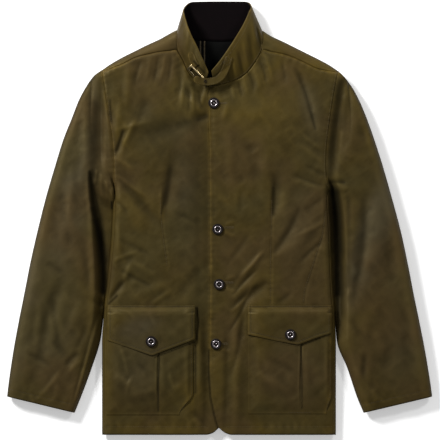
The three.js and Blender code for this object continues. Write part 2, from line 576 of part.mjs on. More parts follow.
// Turned pieces: profile points are radius and height.
const BUTTON_SIDES = 20;
const BUTTON = [
  { r: 0, z: 0 }, { r: 9.6, z: 0 }, { r: 10.6, z: 1.1 }, { r: 10.2, z: 2.4 }, { r: 7.9, z: 2.9 },
  { r: 7.3, z: 3.6 }, { r: 5, z: 3.6 }, { r: 4.3, z: 2.6 }, { r: 1.4, z: 2.6 }, { r: 0, z: 3 },
];
function turned(profile, sides) {
  const points = [];
  const index = [];
  const last = profile.length - 1;
  points.push(0, 0, profile[0].z);
  for (let k = 1; k < last; k += 1) {
    for (let s = 0; s < sides; s += 1) {
      const a = s / sides * Math.PI * 2;
      points.push(profile[k].r * Math.cos(a), profile[k].r * Math.sin(a), profile[k].z);
    }
  }
  points.push(0, 0, profile[last].z);
  const end = points.length / 3 - 1;
  const id = (k, s) => 1 + (k - 1) * sides + (s % sides);
  for (let s = 0; s < sides; s += 1) {
    index.push(0, id(1, s + 1), id(1, s));
    index.push(end, id(last - 1, s), id(last - 1, s + 1));
    for (let k = 1; k < last - 1; k += 1) {
      index.push(id(k, s), id(k, s + 1), id(k + 1, s + 1));
      index.push(id(k, s), id(k + 1, s + 1), id(k + 1, s));
    }
  }
  const geometry = new THREE.BufferGeometry();
  geometry.setAttribute('position', new THREE.Float32BufferAttribute(points, 3));
  geometry.setIndex(index);
  geometry.computeVertexNormals();
  return geometry;
}

// Straps: flat bands along a centre line in grid squares, laid over what is below.
const STRAP = [
  { x: 229.6, y: 57.5 }, { x: 226.6, y: 63.5 }, { x: 223, y: 70.5 }, { x: 218.6, y: 77.6 },
  { x: 212.5, y: 82 }, { x: 206, y: 83.4 }, { x: 200, y: 82.2 }, { x: 194.6, y: 78.8 },
];
const TAB = [
  { x: 190.2, y: 52.6 }, { x: 191.6, y: 57.6 }, { x: 193.6, y: 62.6 }, { x: 196.2, y: 67 },
];
const SLOPED = 1.2;                // allowance for a wall laid on a slope
const STRAP_FLOOR = 46;            // height of the strap where it spans the neck
const STRAP_HALF = 3.9;
const TAB_HALF = 3.4;
const BUCKLE = { x: 195.4, y: 74.6, long: 33, wide: 21, bar: 2.8, tilt: 45 };
const SLOPE_MOST = 0.45;           // steepest slope a rigid trim takes from the cloth
function bandPoint(line, half, ground, floor, round) {
  const rows = line.map((row, n) => ({ ...row, n }));
  const gx = curve(rows, 'n', 'x');
  const gy = curve(rows, 'n', 'y');
  return (u, v) => {
    const n = v * (line.length - 1);
    const a = square(gx(Math.max(0, n - 0.05)), gy(Math.max(0, n - 0.05)));
    const b = square(gx(Math.min(line.length - 1, n + 0.05)), gy(Math.min(line.length - 1, n + 0.05)));
    const long = Math.hypot(b.x - a.x, b.y - a.y);
    const tip = round > 0 ? Math.sqrt(Math.max(0.12, 1 - (1 - Math.min(1, v / round)) ** 2)) : 1;
    const off = (u - 0.5) * 2 * half * GRID * tip;
    const c = square(gx(n), gy(n));
    const x = c.x + off * -(b.y - a.y) / long;
    const y = c.y + off * (b.x - a.x) / long;
    return [x, y, Math.max(floor, ground(x, y) + LIFT + WALL * SLOPED)];
  };
}
// Plane that lies on the highest of what is under a round patch.
function restOn(at, p, reach, clear) {
  const tame = (slope) => Math.max(-SLOPE_MOST, Math.min(SLOPE_MOST, slope));
  const dx = tame((at(p.x + reach, p.y) - at(p.x - reach, p.y)) / (2 * reach));
  const dy = tame((at(p.x, p.y + reach) - at(p.x, p.y - reach)) / (2 * reach));
  let z = at(p.x, p.y);
  for (let k = 0; k < 16; k += 1) {
    for (const r of [reach / 2, reach]) {
      const ox = r * Math.cos(k / 16 * Math.PI * 2);
      const oy = r * Math.sin(k / 16 * Math.PI * 2);
      z = Math.max(z, at(p.x + ox, p.y + oy) - dx * ox - dy * oy);
    }
  }
  return { n: new THREE.Vector3(-dx, -dy, 1).normalize(), z: z + clear };
}
function settle(geometry, p, rest) {
  const up = new THREE.Vector3(0, 0, 1);
  geometry.applyQuaternion(new THREE.Quaternion().setFromUnitVectors(up, rest.n));
  geometry.translate(p.x, p.y, rest.z);
  return geometry;
}
function frameLoop({ long, wide, bar, tilt }) {
  const shape = new THREE.Shape();
  const hw = long / 2;
  const hh = wide / 2;
  shape.moveTo(-hw, -hh);
  shape.lineTo(hw, -hh);
  shape.lineTo(hw, hh);
  shape.lineTo(-hw, hh);
  const hole = new THREE.Path();
  hole.moveTo(-hw + bar, -hh + bar);
  hole.lineTo(-hw + bar, hh - bar);
  hole.lineTo(hw - bar, hh - bar);
  hole.lineTo(hw - bar, -hh + bar);
  shape.holes.push(hole);
  const geometry = new THREE.ExtrudeGeometry(shape, { depth: bar, bevelEnabled: false });
  geometry.rotateZ(-THREE.MathUtils.degToRad(tilt));
  return geometry;
}

const WAX = { color: 0x48391f, roughness: 0.62, metalness: 0 };
const DARK = { color: 0x0f0c0b, roughness: 0.9, metalness: 0 };
const PLUM = { color: 0x231519, roughness: 0.95, metalness: 0 };
const BRASS = { color: 0xd8b45a, roughness: 0.3, metalness: 1 };
const HORN = { color: 0x1d1712, roughness: 0.35, metalness: 0 };

const group = new THREE.Group();
group.name = 'waxed_cotton_jacket';
function add(name, geometry, finish) {
  const mesh = new THREE.Mesh(geometry, new THREE.MeshStandardMaterial({ ...finish }));
  mesh.name = name;
  group.add(mesh);
  return geometry;
}

const back = add('back', cloth({
  at: backPoint, us: backU, vs: backV, wall: WALL, flip: 1,
  keep: (i, j) => !(neckCell(i) && j < SHOULDER_ROWS),
}), WAX);
const frontRight = add('front_right', cloth({
  at: frontRightAt, us: FRONT_U, vs: frontV, wall: WALL, flip: -1,
}), WAX);
const frontLeft = add('front_left', cloth({
  at: frontLeftAt, us: FRONT_U.map((u) => 1 - u).reverse(), vs: frontV, wall: WALL, flip: -1,
}), WAX);
add('sleeve_right', cloth({
  at: sleevePoint(SLEEVE_LEFT, armLeft, 70, 1), us: SLEEVE_U, vs: sleeveV, wall: WALL,
  flip: -1, ring: true,
}), WAX);
add('sleeve_left', cloth({
  at: sleevePoint(SLEEVE_RIGHT, armRight, 71, -1), us: SLEEVE_U, vs: sleeveV, wall: WALL,
  flip: 1, ring: true,
}), WAX);
const collar = add('collar', cloth({
  at: collarPoint, us: collarU, vs: collarV, wall: WALL, flip: -1,
}), WAX);
add('collar_lining', cloth({
  at: collarPoint, us: collarU, vs: collarV, wall: LINING, flip: -1, inset: WALL + SEAM,
}), PLUM);

const NECK_LINING = { x0: 179, x1: 260.5, y1: 104 };
add('neck_lining', cloth({
  at: (u, v) => {
    const gx = mix(NECK_LINING.x0, NECK_LINING.x1, u);
    const gy = mix(neckBack(gx) + 1, NECK_LINING.y1, v);
    const p = square(gx, gy);
    return [p.x, p.y, bodyUnder(p.x, p.y) + WALL + LIFT];
  },
  us: even(10), vs: even(6), wall: LINING, flip: 1,
}), DARK);

const ground = topOf([frontRight, frontLeft, back]);
const bagLeftGeo = add('pocket_right', cloth({
  at: bagPoint(BAG_LEFT, ground), us: [0, 0.025, 0.055, 0.1, 0.2, 0.32, 0.45, 0.57, 0.6, 0.63, 0.75, 0.88, 0.96, 1],
  vs: even(9), wall: WALL, flip: -1,
}), WAX);
const bagRightGeo = add('pocket_left', cloth({
  at: bagPoint(BAG_RIGHT, ground), us: [0, 0.04, 0.12, 0.25, 0.4, 0.52, 0.6, 0.634, 0.67, 0.8, 0.9, 0.945, 0.975, 1],
  vs: even(9), wall: WALL, flip: -1,
}), WAX);
const FLAP_U = [0, 0.025, 0.055, 0.09, 0.14, 0.2, 0.28, 0.38, 0.48, 0.58, 0.7, 0.8, 0.9, 0.96, 1];
const FLAP_V = [0, 0.06, 0.12, 0.18, 0.26, 0.4, 0.6, 0.8, 1];
const flapRightGeo = add('flap_right', cloth({
  at: flapPoint(straight(FLAP_LEFT), FLAP_TOP.left, 107.2, 195.4, ground, topOf([bagLeftGeo, frontRight, back])),
  us: FLAP_U, vs: FLAP_V, wall: WALL, flip: -1,
}), WAX);
const flapLeftGeo = add('flap_left', cloth({
  at: flapPoint(straight(FLAP_RIGHT), FLAP_TOP.right, 247.6, 332, ground, topOf([bagRightGeo, frontLeft, back])),
  us: FLAP_U.map((u) => 1 - u).reverse(), vs: FLAP_V, wall: WALL, flip: -1,
}), WAX);

// Buttons stand on the cloth at its slope.
const BUTTONS = [
  { name: 'button_1', x: 213.8, y: 103.2, on: frontLeft },
  { name: 'button_2', x: 217.7, y: 229.2, on: frontLeft },
  { name: 'button_3', x: 219.2, y: 284.3, on: frontLeft },
  { name: 'button_4', x: 216, y: 343.8, on: frontLeft },
  { name: 'flap_button_right', x: 151.2, y: 341.2, on: flapRightGeo },
  { name: 'flap_button_left', x: 290.2, y: 334.3, on: flapLeftGeo },
];
for (const b of BUTTONS) {
  const p = square(b.x, b.y);
  add(b.name, settle(turned(BUTTON, BUTTON_SIDES), p, restOn(topOf([b.on]), p, 8, SEAM)), HORN);
}

const neckGround = topOf([collar, frontLeft, frontRight]);
const tabGeo = add('collar_tab', cloth({
  at: bandPoint(TAB, TAB_HALF, neckGround, 0, 0.3), us: even(4), vs: even(6), wall: WALL,
  flip: -1,
}), WAX);
const strapGeo = add('throat_strap', cloth({
  at: bandPoint(STRAP, STRAP_HALF, topOf([collar, frontLeft, frontRight, tabGeo]), STRAP_FLOOR, 0),
  us: even(4), vs: even(16), wall: WALL, flip: -1,
}), WAX);
const buckleAt = square(BUCKLE.x, BUCKLE.y);
const buckleRest = restOn(topOf([collar, frontLeft, frontRight, tabGeo, strapGeo]), buckleAt, 18, LIFT + SEAM);
add('buckle', settle(frameLoop(BUCKLE), buckleAt, buckleRest), BRASS);

export default group;
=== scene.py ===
"""Waxed cotton jacket laid flat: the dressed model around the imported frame.

Lengths in the pattern tables are squares of the pattern grid, heights are millimetres, and
every mesh is made in metres. The pattern grid's y counts down from above the collar. Left and
right are the grid's in the tables, and the wearer's in the names of pieces.
"""
import logging
import math
from dataclasses import dataclass, field
from enum import Enum
from functools import partial
from typing import Callable, Optional, Sequence

import bpy
import numpy as np
from mathutils import Matrix, Vector
from mathutils.bvhtree import BVHTree


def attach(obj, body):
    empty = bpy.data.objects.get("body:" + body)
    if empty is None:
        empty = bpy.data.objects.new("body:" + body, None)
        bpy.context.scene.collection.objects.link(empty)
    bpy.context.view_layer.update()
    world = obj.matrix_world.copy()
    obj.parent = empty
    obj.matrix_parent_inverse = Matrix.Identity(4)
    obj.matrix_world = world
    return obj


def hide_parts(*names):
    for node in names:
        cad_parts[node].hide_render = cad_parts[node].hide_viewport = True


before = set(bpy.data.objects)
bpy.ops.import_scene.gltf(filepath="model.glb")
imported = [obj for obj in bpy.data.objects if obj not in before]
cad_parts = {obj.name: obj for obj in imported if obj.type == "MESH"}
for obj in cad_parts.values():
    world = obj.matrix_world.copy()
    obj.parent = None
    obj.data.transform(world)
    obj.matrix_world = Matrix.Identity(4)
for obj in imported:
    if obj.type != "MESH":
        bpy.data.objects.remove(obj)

Array = np.ndarray
Surface = Callable[[Array, Array], Array]
Point = tuple[float, float]
Line = Sequence[Point]
Tone = tuple[float, float, float]
Piece = bpy.types.Object
Socket = bpy.types.NodeSocket

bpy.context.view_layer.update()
LOG = logging.getLogger("jacket")

# The grid: mm in a square, the frame's origin on it, and the squares that the camera sees.
GRID = 1.95
MID_X, MID_Y = 219.5, 218.5
VIEW = 440
MM = 0.001
# Walls of cloth and lining, the gap at a seam, and how deep a rounded edge reaches, in mm.
WALL, LINING = 1.7, 0.9
SEAM = 0.25
EDGE = 16.0
ARC = EDGE * math.pi / 2
# Side seams lie this far in from the body's edge; the right front lies this far under the left.
SEAM_IN = 4.5
UNDERLAP = 3.6
SHOULDER_COS = 0.87
# Rows where the armholes end and the side seams have settled; the body's columns and the neck's.
ARM_END, SIDE_ROW = 187.0, 197.0
BODY_LEFT, BODY_RIGHT, HEM_EDGE = 102.0, 338.0, 336.0
NECK_LEFT, NECK_RIGHT = 176.0, 263.3
UNDER_EDGE = 228.0
HEM = 434.8
# Shares of the back's rows above the neck seam, and of a sleeve's that fan round the armpit.
BACK_TOP = 0.3
CAP_PART = 0.36


def across(gx: Array) -> Array:
    """Turn a grid column into mm across."""
    return (np.asarray(gx, float) - MID_X) * GRID


def along(gy: Array) -> Array:
    """Turn a grid row into mm along the garment."""
    return (MID_Y - np.asarray(gy, float)) * GRID


def on_grid(x: Array, y: Array) -> tuple[Array, Array]:
    """Turn mm across and along into a grid column and row."""
    return x / GRID + MID_X, MID_Y - y / GRID


def smooth(low: float, high: float, at: Array) -> Array:
    """Ease from 0 at low to 1 at high."""
    k = np.clip((np.asarray(at, float) - low) / (high - low), 0.0, 1.0)
    return k * k * (3.0 - 2.0 * k)


def mix(a: Array, b: Array, t: Array) -> Array:
    """Blend a into b by the share t."""
    return a + (b - a) * t


def bell(off: Array, half: float) -> Array:
    """Swell that is 1 at 0 and fades over half."""
    return np.exp(-(off / half) ** 2)


class Curve:
    """Smooth monotone curve through a short table of knots."""

    def __init__(self, knots: Sequence[Point]) -> None:
        """Work out the slopes.

        Args:
            knots: pairs of place and value, in rising order of place.
        """
        self.t = np.array([k[0] for k in knots], float)
        self.p = np.array([k[1] for k in knots], float)
        rise = np.diff(self.p) / np.diff(self.t)
        slope = np.zeros_like(self.p)
        slope[0], slope[-1] = rise[0], rise[-1]
        for i in range(1, len(slope) - 1):
            if rise[i - 1] * rise[i] > 0:
                slope[i] = 2.0 / (1.0 / rise[i - 1] + 1.0 / rise[i])
        self.slope = slope

    def __call__(self, at: Array) -> Array:
        """Read the curve, held at its ends.

        Args:
            at: places to read.
        Returns:
            The values there.
        """
        at = np.clip(np.asarray(at, float), self.t[0], self.t[-1])
        i = np.clip(np.searchsorted(self.t, at, side="right") - 1, 0, len(self.t) - 2)
        h = self.t[i + 1] - self.t[i]
        s = (at - self.t[i]) / h
        s2, s3 = s * s, s * s * s
        return ((2 * s3 - 3 * s2 + 1) * self.p[i] + (s3 - 2 * s2 + s) * h * self.slope[i]
                + (3 * s2 - 2 * s3) * self.p[i + 1] + (s3 - s2) * h * self.slope[i + 1])


@dataclass(frozen=True)
class Noise:
    """Seeded smooth value noise over the plan, on a lattice turned from the grid."""

    seed: int
    cell: float
    turn: Point = (0.82, 0.57)
    count: int = 64

    def __call__(self, x: Array, y: Array) -> Array:
        """Read the noise.

        Args:
            x, y: mm across and along.
        Returns:
            Values from about -1 to 1.
        """
        lattice = np.random.default_rng(self.seed).uniform(-1.0, 1.0, (self.count, self.count))
        c, s = self.turn
        fx, fy = (c * x + s * y) / self.cell, (c * y - s * x) / self.cell
        ix, iy = np.floor(fx).astype(int), np.floor(fy).astype(int)
        tx, ty = (t ** 3 * (t * (6 * t - 15) + 10) for t in (fx - ix, fy - iy))
        corner = [lattice[(ix + a) % self.count, (iy + b) % self.count] for b in (0, 1) for a in (0, 1)]
        return mix(mix(corner[0], corner[1], tx), mix(corner[2], corner[3], tx), ty)


@dataclass(frozen=True)
class Crease:
    """A soft fold line in grid squares: from (x, y) to (tx, ty), half as wide as wide,
    raised by up mm, bent sideways by bow squares, with a profile sharper above 1 and gentler
    on its left by lean."""

    x: float
    y: float
    tx: float
    ty: float
    wide: float
    up: float
    bow: float = 0.0
    sharp: float = 1.0
    lean: float = 0.0

    def height(self, x: Array, y: Array) -> Array:
        """Work out the fold's height.

        Args:
            x, y: mm across and along.
        Returns:
            The height in mm.
        """
        ax, ay = across(self.x), along(self.y)
        bx, by = across(self.tx), along(self.ty)
        length = math.hypot(bx - ax, by - ay)
        ux, uy = (bx - ax) / length, (by - ay) / length
        on = ((x - ax) * ux + (y - ay) * uy) / length
        bend = self.bow * GRID * 4.0 * np.clip(on, 0, 1) * (1 - np.clip(on, 0, 1))
        off = ((y - ay) * ux - (x - ax) * uy - bend) / (self.wide * GRID)
        off = off / np.where(off > 0, 1 + self.lean, 1 - self.lean)
        ends = smooth(-0.15, 0.3, on) * (1.0 - smooth(0.7, 1.15, on))
        return self.up * ends * np.exp(-np.abs(off) ** (2.0 / self.sharp))


@dataclass(frozen=True)
class SeamLine:
    """A sewn line in grid squares that draws the cloth down and puckers it, in mm, with worn wax and painted
    highlight along it; lines of painted shade share its shape.
    """

    points: tuple[Point, ...]
    sink: float = 0.7
    half: float = 2.2
    pucker: float = 0.28
    reach: float = 9.0
    pitch: float = 11.0
    # Share of the line's mark: worn wax with painted highlight on a seam, painted shade on a line of shade.
    wear: float = 1.0

    def measure(self, x: Array, y: Array) -> tuple[Array, Array]:
        """Find the nearest point of the line.

        Args:
            x, y: mm across and along.
        Returns:
            Distance from the line and arc length at the nearest point, in mm.
        """
        px = across(np.array([p[0] for p in self.points]))
        py = along(np.array([p[1] for p in self.points]))
        best = np.full(x.shape, np.inf)
        arc = np.zeros(x.shape)
        run = 0.0
        for i in range(len(px) - 1):
            dx, dy = px[i + 1] - px[i], py[i + 1] - py[i]
            size = math.hypot(dx, dy)
            t = np.clip(((x - px[i]) * dx + (y - py[i]) * dy) / size ** 2, 0, 1)
            d = np.hypot(x - px[i] - t * dx, y - py[i] - t * dy)
            near = d < best
            best = np.where(near, d, best)
            arc = np.where(near, run + t * size, arc)
            run += size
        return best, arc

    def height(self, x: Array, y: Array) -> Array:
        """Work out how far the line moves the cloth.

        Args:
            x, y: mm across and along.
        Returns:
            The height in mm.
        """
        d, arc = self.measure(x, y)
        wave = np.sin(arc * 2 * math.pi / self.pitch + 1.7 * np.sin(arc / 23.0))
        swell = 0.55 + 0.45 * np.sin(arc / 31.0 + self.points[0][0])
        return -self.sink * bell(d, self.half) + self.pucker * wave * swell * bell(d, self.reach)

    def share(self, x: Array, y: Array, half: float) -> Array:
        """Share of the line's mark, fading over half mm: worn wax with painted highlight on a seam, painted
        shade on a line of shade.
        """
        return self.wear * bell(self.measure(x, y)[0], half)


@dataclass(frozen=True)
class ToneAndLightPatch:
    """Soft oval patch in grid squares where the colour turns golden (up > 0) or grey: partly the wax's own
    tone, partly painted light, golden where lit and grey where sheen shows.
    """

    x: float
    y: float
    wide: float
    tall: float
    up: float
    turn: float = 0.0

    def amount(self, x: Array, y: Array) -> Array:
        """Work out the patch's share.

        Args:
            x, y: mm across and along.
        Returns:
            The share, negative where grey.
        """
        gx, gy = on_grid(x, y)
        dx, dy = gx - self.x, gy - self.y
        c, s = math.cos(math.radians(self.turn)), math.sin(math.radians(self.turn))
        return self.up * bell(dx * c + dy * s, self.wide) * bell(dy * c - dx * s, self.tall)


# Each row is a Crease: x, y, tx, ty, wide, up, bow, sharp, lean.
FOLDS = [Crease(*row) for row in (
    # chest and shoulder of the wearer's right front
    (134, 135, 206, 118, 9, -2.4, -2, 1, -0.2), (152, 112, 192, 104, 10, 1.2, 1),
    (189, 98, 204, 114, 3, 1.6), (197, 119, 209, 115, 3.4, -1.6, 0, 1.2), (148, 98, 136, 122, 6.5, -1.8, 1),
    (129, 62, 127, 106, 4.4, 1.7), (106.5, 92, 112.6, 124, 2.4, -2.6, 0, 1.2, 0.2),
    (124, 130, 115, 156, 3, -2.6, 1, 1.2), (136, 120, 123, 146, 2.6, 1.9, 0, 1.2),
    (120, 100, 117, 138, 3.4, 1.3), (178, 62, 188, 97, 4.2, -1.6, -2), (186, 66, 191, 94, 3.6, 1.2, -1),
    (172.5, 160, 163.6, 214, 5.6, -3.4, 0, 1, 0.1), (161.2, 190, 160.9, 219, 1.7, 1.7, 0, 1.3),
    (118, 172, 160, 226, 6, -2.6, -1), (120, 196, 142, 232, 7, 1.4, 1),
    (108, 303, 130, 276, 3.8, -3, 1, 1.2), (124, 288, 131, 264, 3, 1.9, 1),
    (130, 300, 170, 283, 5.4, 1.3, 1), (152, 304, 172, 290, 2.4, 1), (116, 224, 119, 258, 3.4, 1.3, 1),
    (176, 300, 206, 262, 6, -1.2, 1), (207.4, 140, 207.6, 300, 3.4, -0.7),
    (203.5, 318, 205, 425, 4.6, -2.6, 2, 1, 0.3), (197.6, 318, 199, 400, 2.6, 1.5, 1),
    # wearer's left front
    (297, 72, 315.5, 131, 3.2, -2.6, 1.6, 1.2, 0.2), (303, 84, 322, 146, 6, 2, 2),
    (284, 74, 304, 116, 7, 1.2, 2), (274.4, 176, 273, 216, 4.2, -3, 1, 1.1, 0.3),
    (285, 168, 282, 222, 8, 1.3, 1), (264, 150, 265, 210, 6.4, 0.8), (300, 205, 272, 254, 4, -1.9, 3, 1.1),
    (316, 214, 286, 256, 7, 1.5, 2), (327, 196, 302, 212, 3.6, -1),
    (268, 282, 234, 306, 5, -2.8, -1, 1, 0.3), (258, 278, 228, 300, 4.4, 1.6, -1),
    (241, 188, 240, 214, 3.2, -0.8), (292, 292, 276, 304, 3, -1.1), (236, 320, 235, 430, 4.6, 2.3, 1),
    (243, 310, 232, 372, 3.2, -2.2, 2, 1.1), (226, 330, 225, 424, 3, -1.4, 1), (306, 270, 286, 300, 6, 0.9),
    # wearer's right sleeve
    (100.5, 88, 100.5, 170, 6.4, -5.6, 0, 1, -0.42), (106, 84, 111.4, 160, 2.4, 1.2),
    (86, 104, 87, 168, 5, 2.4), (84, 84, 62, 150, 6, -1.6, -2), (97, 170, 95, 184, 1.8, 2.4),
    (101, 176, 103, 200, 2.4, 2.2, -1), (107, 180, 106, 204, 2.2, 1.4), (52, 188, 54, 236, 6, -1.6, 1),
    (70, 190, 68, 262, 9, 1.6, 1), (62, 272, 32, 390, 7.4, -2, -3, 1, 0.3), (64, 292, 47, 364, 6, 1.3, -2),
    (66, 366, 79, 352, 2.8, -1.4, 1), (70, 372, 82, 360, 2.4, 1.2, 1), (96, 292, 104, 302, 2.4, 1.8, 1),
    (92, 300, 103, 306, 2.2, -1.8), (98.5, 308, 71, 408, 1.5, -1.8, 0, 1.2), (101, 312, 74, 408, 1.6, 1.2),
    (80, 300, 70, 330, 5, 1.3, 1), (30, 340, 22, 390, 5, 1),
    # wearer's left sleeve
    (343.5, 82, 334, 168, 5.4, -5.6, -2, 1, -0.3), (360, 104, 350, 168, 7, 1.6, -3),
    (345, 182.5, 330, 181.5, 2.4, -2.2, 0, 1.2), (348, 188, 335, 188.6, 2.8, 1.2, 1),
    (364, 198, 351, 300, 5.4, -2.8, 4), (379, 184, 372, 268, 8.4, 2, 2), (352, 205, 350, 262, 4, 1.4, 1),
    (344, 300, 352, 288, 3, 1.4), (364, 354, 363, 378, 2.8, -1.3), (376, 300, 360, 340, 7, 0.9, -2),
    (372, 388, 378, 402, 2.4, 1), (402, 300, 410, 386, 7, -1.2),
    # gathers under the shoulder seam and the collar
    (150, 57, 146, 80, 2.2, 0.7, 1), (158, 56, 153, 84, 2, -0.8, 1), (165, 55, 160, 80, 1.8, 0.9, 1),
    (171, 55, 168, 82, 1.8, -0.8, 1), (141, 60, 134, 84, 2.4, -0.9), (184, 78, 181, 102, 2, 1),
    (232, 86, 235, 100, 1.8, 1.2), (238, 81, 242, 96, 1.8, -1.4), (243, 76, 248, 94, 1.8, 1.5),
    (248, 71, 254, 92, 1.8, -1.6, 1), (253, 66, 260, 90, 1.8, 1.5, 1), (258, 58, 266, 84, 1.8, -1.4, 1),
    (264, 55, 272, 80, 2, 1.3, 1), (281, 58, 286, 84, 2.4, -1), (206, 88, 200, 106, 2, 1.2, 1),
    (216, 88, 222, 104, 2.2, 1.1, -1), (211, 108, 211.5, 150, 2, -0.7), (228, 100, 222, 122, 3, 1.2, 1),
    # pulls at the buttonholes
    (224, 226, 236, 222, 1.8, 0.9, 1), (224, 231, 236, 236, 1.8, 1, -1), (226, 281, 236, 276, 1.8, 0.8, 1),
    (226, 287, 236, 291, 1.8, 0.9, -1), (220, 348, 231, 352, 1.8, 0.8), (220, 100, 230, 97, 1.8, 0.8),
    # small pulls from the armholes, the side and the waist
    (116, 158, 134, 170, 2.4, 1), (115, 200, 128, 214, 2.2, -1, 1), (120, 240, 150, 256, 3, -0.9, 1),
    (134, 262, 156, 276, 2.8, 0.9), (300, 146, 326, 166, 3.2, 1.1, 1), (306, 166, 326, 176, 2.6, -1.1),
    (326, 220, 296, 236, 2.4, 1.1, 1), (322, 242, 300, 262, 2.4, -1.1, -1), (290, 180, 318, 190, 3.4, 1, 1),
    (250, 232, 228, 262, 3.6, -0.9, 1), (262, 252, 240, 276, 3, 0.9, 1), (180, 170, 202, 206, 5, 1.1, 1),
    (176, 214, 200, 224, 3, -0.8, 1), (198, 204, 199, 300, 3, -0.3), (246, 140, 258, 190, 6, -1.2, 2),
    (228, 128, 230, 190, 5, 0.9, 1), (190, 408, 206, 430, 3, -0.6, 1), (192, 418, 208, 432, 2.4, 0.7, 1),
    # sleeves
    (82, 94, 76, 150, 5, -1.3, 1), (86, 150, 80, 190, 5, 1.3, 1), (44, 262, 66, 276, 4, -0.9, 2),
    (84, 250, 88, 290, 4, -1.2, 1), (52, 340, 66, 356, 3.4, -0.8), (86, 326, 76, 350, 3, -1.1, 1),
    (30, 394, 34, 402, 2, 0.8), (58, 384, 52, 404, 3, 0.9, 1), (358, 96, 366, 150, 5, -1.3, -1),
    (388, 240, 392, 282, 6, -1.1, -2), (345, 262, 356, 276, 3, 1.2, 1), (350, 316, 362, 336, 4, -1, -1),
    (392, 344, 380, 372, 5, -0.9, -1), (372, 330, 384, 352, 5, 0.9),
    # pleats under the strap
    (184, 80, 181, 108, 1.8, 1.4, 1, 1.2), (188.5, 84, 188, 112, 1.6, -1.5, 1, 1.2),
    (193, 88, 194, 114, 1.6, 1.5, 0, 1.2), (199, 92, 202, 112, 1.5, -1.2, 0, 1.2),
    # sharp pulls from the waist and the armholes
    (264, 250, 238, 280, 2, 1.3, 1, 1.3), (258, 268, 232, 296, 1.9, -1.3, -1, 1.3),
    (252, 288, 232, 312, 1.8, 1.4, 1, 1.3), (246, 300, 230, 330, 1.9, -1.4, 1, 1.2),
    (116, 131, 152, 122, 2.2, 1.2, 1, 1.3), (114, 172, 146, 196, 2, 1.2, -1, 1.3),
    (112, 262, 138, 252, 2, 1.1, 1), (120, 270, 150, 286, 2, -1.1), (322, 150, 300, 132, 2.2, 1.1, 1, 1.2),
    (324, 186, 296, 176, 2, -1.1, 1, 1.2),
    # broad dents of the sleeves
    (40, 300, 34, 370, 4, 1.4, 1), (54, 300, 60, 350, 3.4, -1.4, -1), (24, 352, 52, 366, 2.4, -1, 1),
    (60, 372, 40, 396, 2.6, 1.2, 1), (72, 168, 64, 240, 4.5, 1.5, 2), (58, 182, 70, 250, 4.5, -1.3, 1),
)]
COLLAR_FOLDS = [Crease(*row) for row in (
    (256, 24, 261.5, 52, 2, -2.6, 0, 1.1), (252, 20, 257, 46, 2.6, 1.6), (248, 34, 253, 62, 2.2, -1.6),
    (243, 42, 248, 68, 2, 1.6), (238, 52, 243, 76, 1.9, -1.7), (233, 60, 237, 80, 1.9, 1.4),
    (226, 70, 229, 84, 1.9, -1.2), (184, 18, 180, 44, 2.2, -1.3), (189, 30, 185, 58, 2.4, 1.3),
    (195, 48, 190, 74, 2, -1.4), (205, 66, 206.5, 86, 1.6, -2), (201, 60, 199, 82, 2, 1),
    (240, 24, 226, 52, 3, 0.9), (247, 20, 234, 46, 2.6, -0.9),
)]
# Each row is a patch of the wax's own tone and painted light: x, y, wide, tall, up, turn.
TONE_AND_LIGHT_PATCHES = [ToneAndLightPatch(*row) for row in (
    (248, 112, 34, 30, 0.42), (282, 92, 16, 20, 0.15), (232, 190, 18, 44, 0.12), (176, 98, 38, 16, 0.2),
    (122, 130, 9, 30, 0.25), (134, 236, 20, 30, 0.12), (186, 190, 15, 44, -0.34),
    (180, 128, 30, 10, -0.2, -18), (268, 268, 30, 26, 0.14), (74, 196, 20, 64, -0.42, 14),
    (48, 214, 8, 30, 0.25, 14), (50, 340, 30, 44, -0.22), (371, 240, 14, 66, -0.9, 18),
    (372, 312, 26, 24, 0.2), (398, 352, 26, 34, -0.15), (138, 360, 26, 40, -0.34),
    (290, 372, 34, 36, -0.26), (214, 390, 10, 44, 0.25), (308, 104, 11, 32, -0.4, -16),
    (300, 226, 22, 46, -0.32, 10), (190, 250, 16, 26, -0.15), (107, 370, 5, 46, 0.42),
    (184, 396, 12, 14, 0.3), (262, 330, 10, 60, 0.18), (333, 370, 3, 44, 0.5), (94, 112, 6, 40, -0.3),
    (143, 108, 14, 14, -0.2), (220, 430, 130, 8, 0.42), (300, 66, 40, 14, 0.42), (243, 56, 15, 30, 0.5, 24),
    (192.4, 372, 1.8, 30, 0.6), (186.5, 403.5, 1.8, 10, 0.6, 41), (140, 326, 20, 9, -0.4, -14),
    (114, 318, 9, 9, 0.25), (58, 240, 26, 120, -0.22, 9), (26, 300, 9, 110, -0.3, 10),
    (396, 300, 24, 90, -0.2, -8),
)]

# Rows of the body: row, left and right column, height in mm.
BODY = [
    (30, 90, 350, 26), (80, 92, 348, 28), (120, 91, 350, 31), (150, 96, 347, 31), (168, 103, 341, 31),
    (178, 109.5, 335, 30), (187, 113, 329.5, 30), (200, 113, 329.3, 30), (230, 112, 331, 29),
    (260, 109.5, 332, 28), (285, 107, 333, 27), (300, 105, 334, 27), (320, 103.4, 335, 26),
    (343, 102, 336, 25), (435, 102, 336, 20)]
# Column and row along the shoulder ridge; row and column of the armholes and the front edge.
SHOULDER = [
    (102, 70), (110, 64.5), (123, 57), (135, 51), (147, 45), (160, 39), (169, 34), (177, 30), (220, 24),
    (262, 30.5), (270, 35.5), (284, 42), (296, 48), (308, 54), (320, 60), (330, 65.5), (338, 71)]
ARM_LEFT = [
    (70, 102), (80, 103.4), (110, 108), (141, 112.6), (165, 114.2), (178, 114.2), (187, 113)]
ARM_RIGHT = [
    (71, 338), (80, 336.3), (110, 331.4), (147, 326.6), (166, 325.8), (178, 326.8), (187, 329.5)]
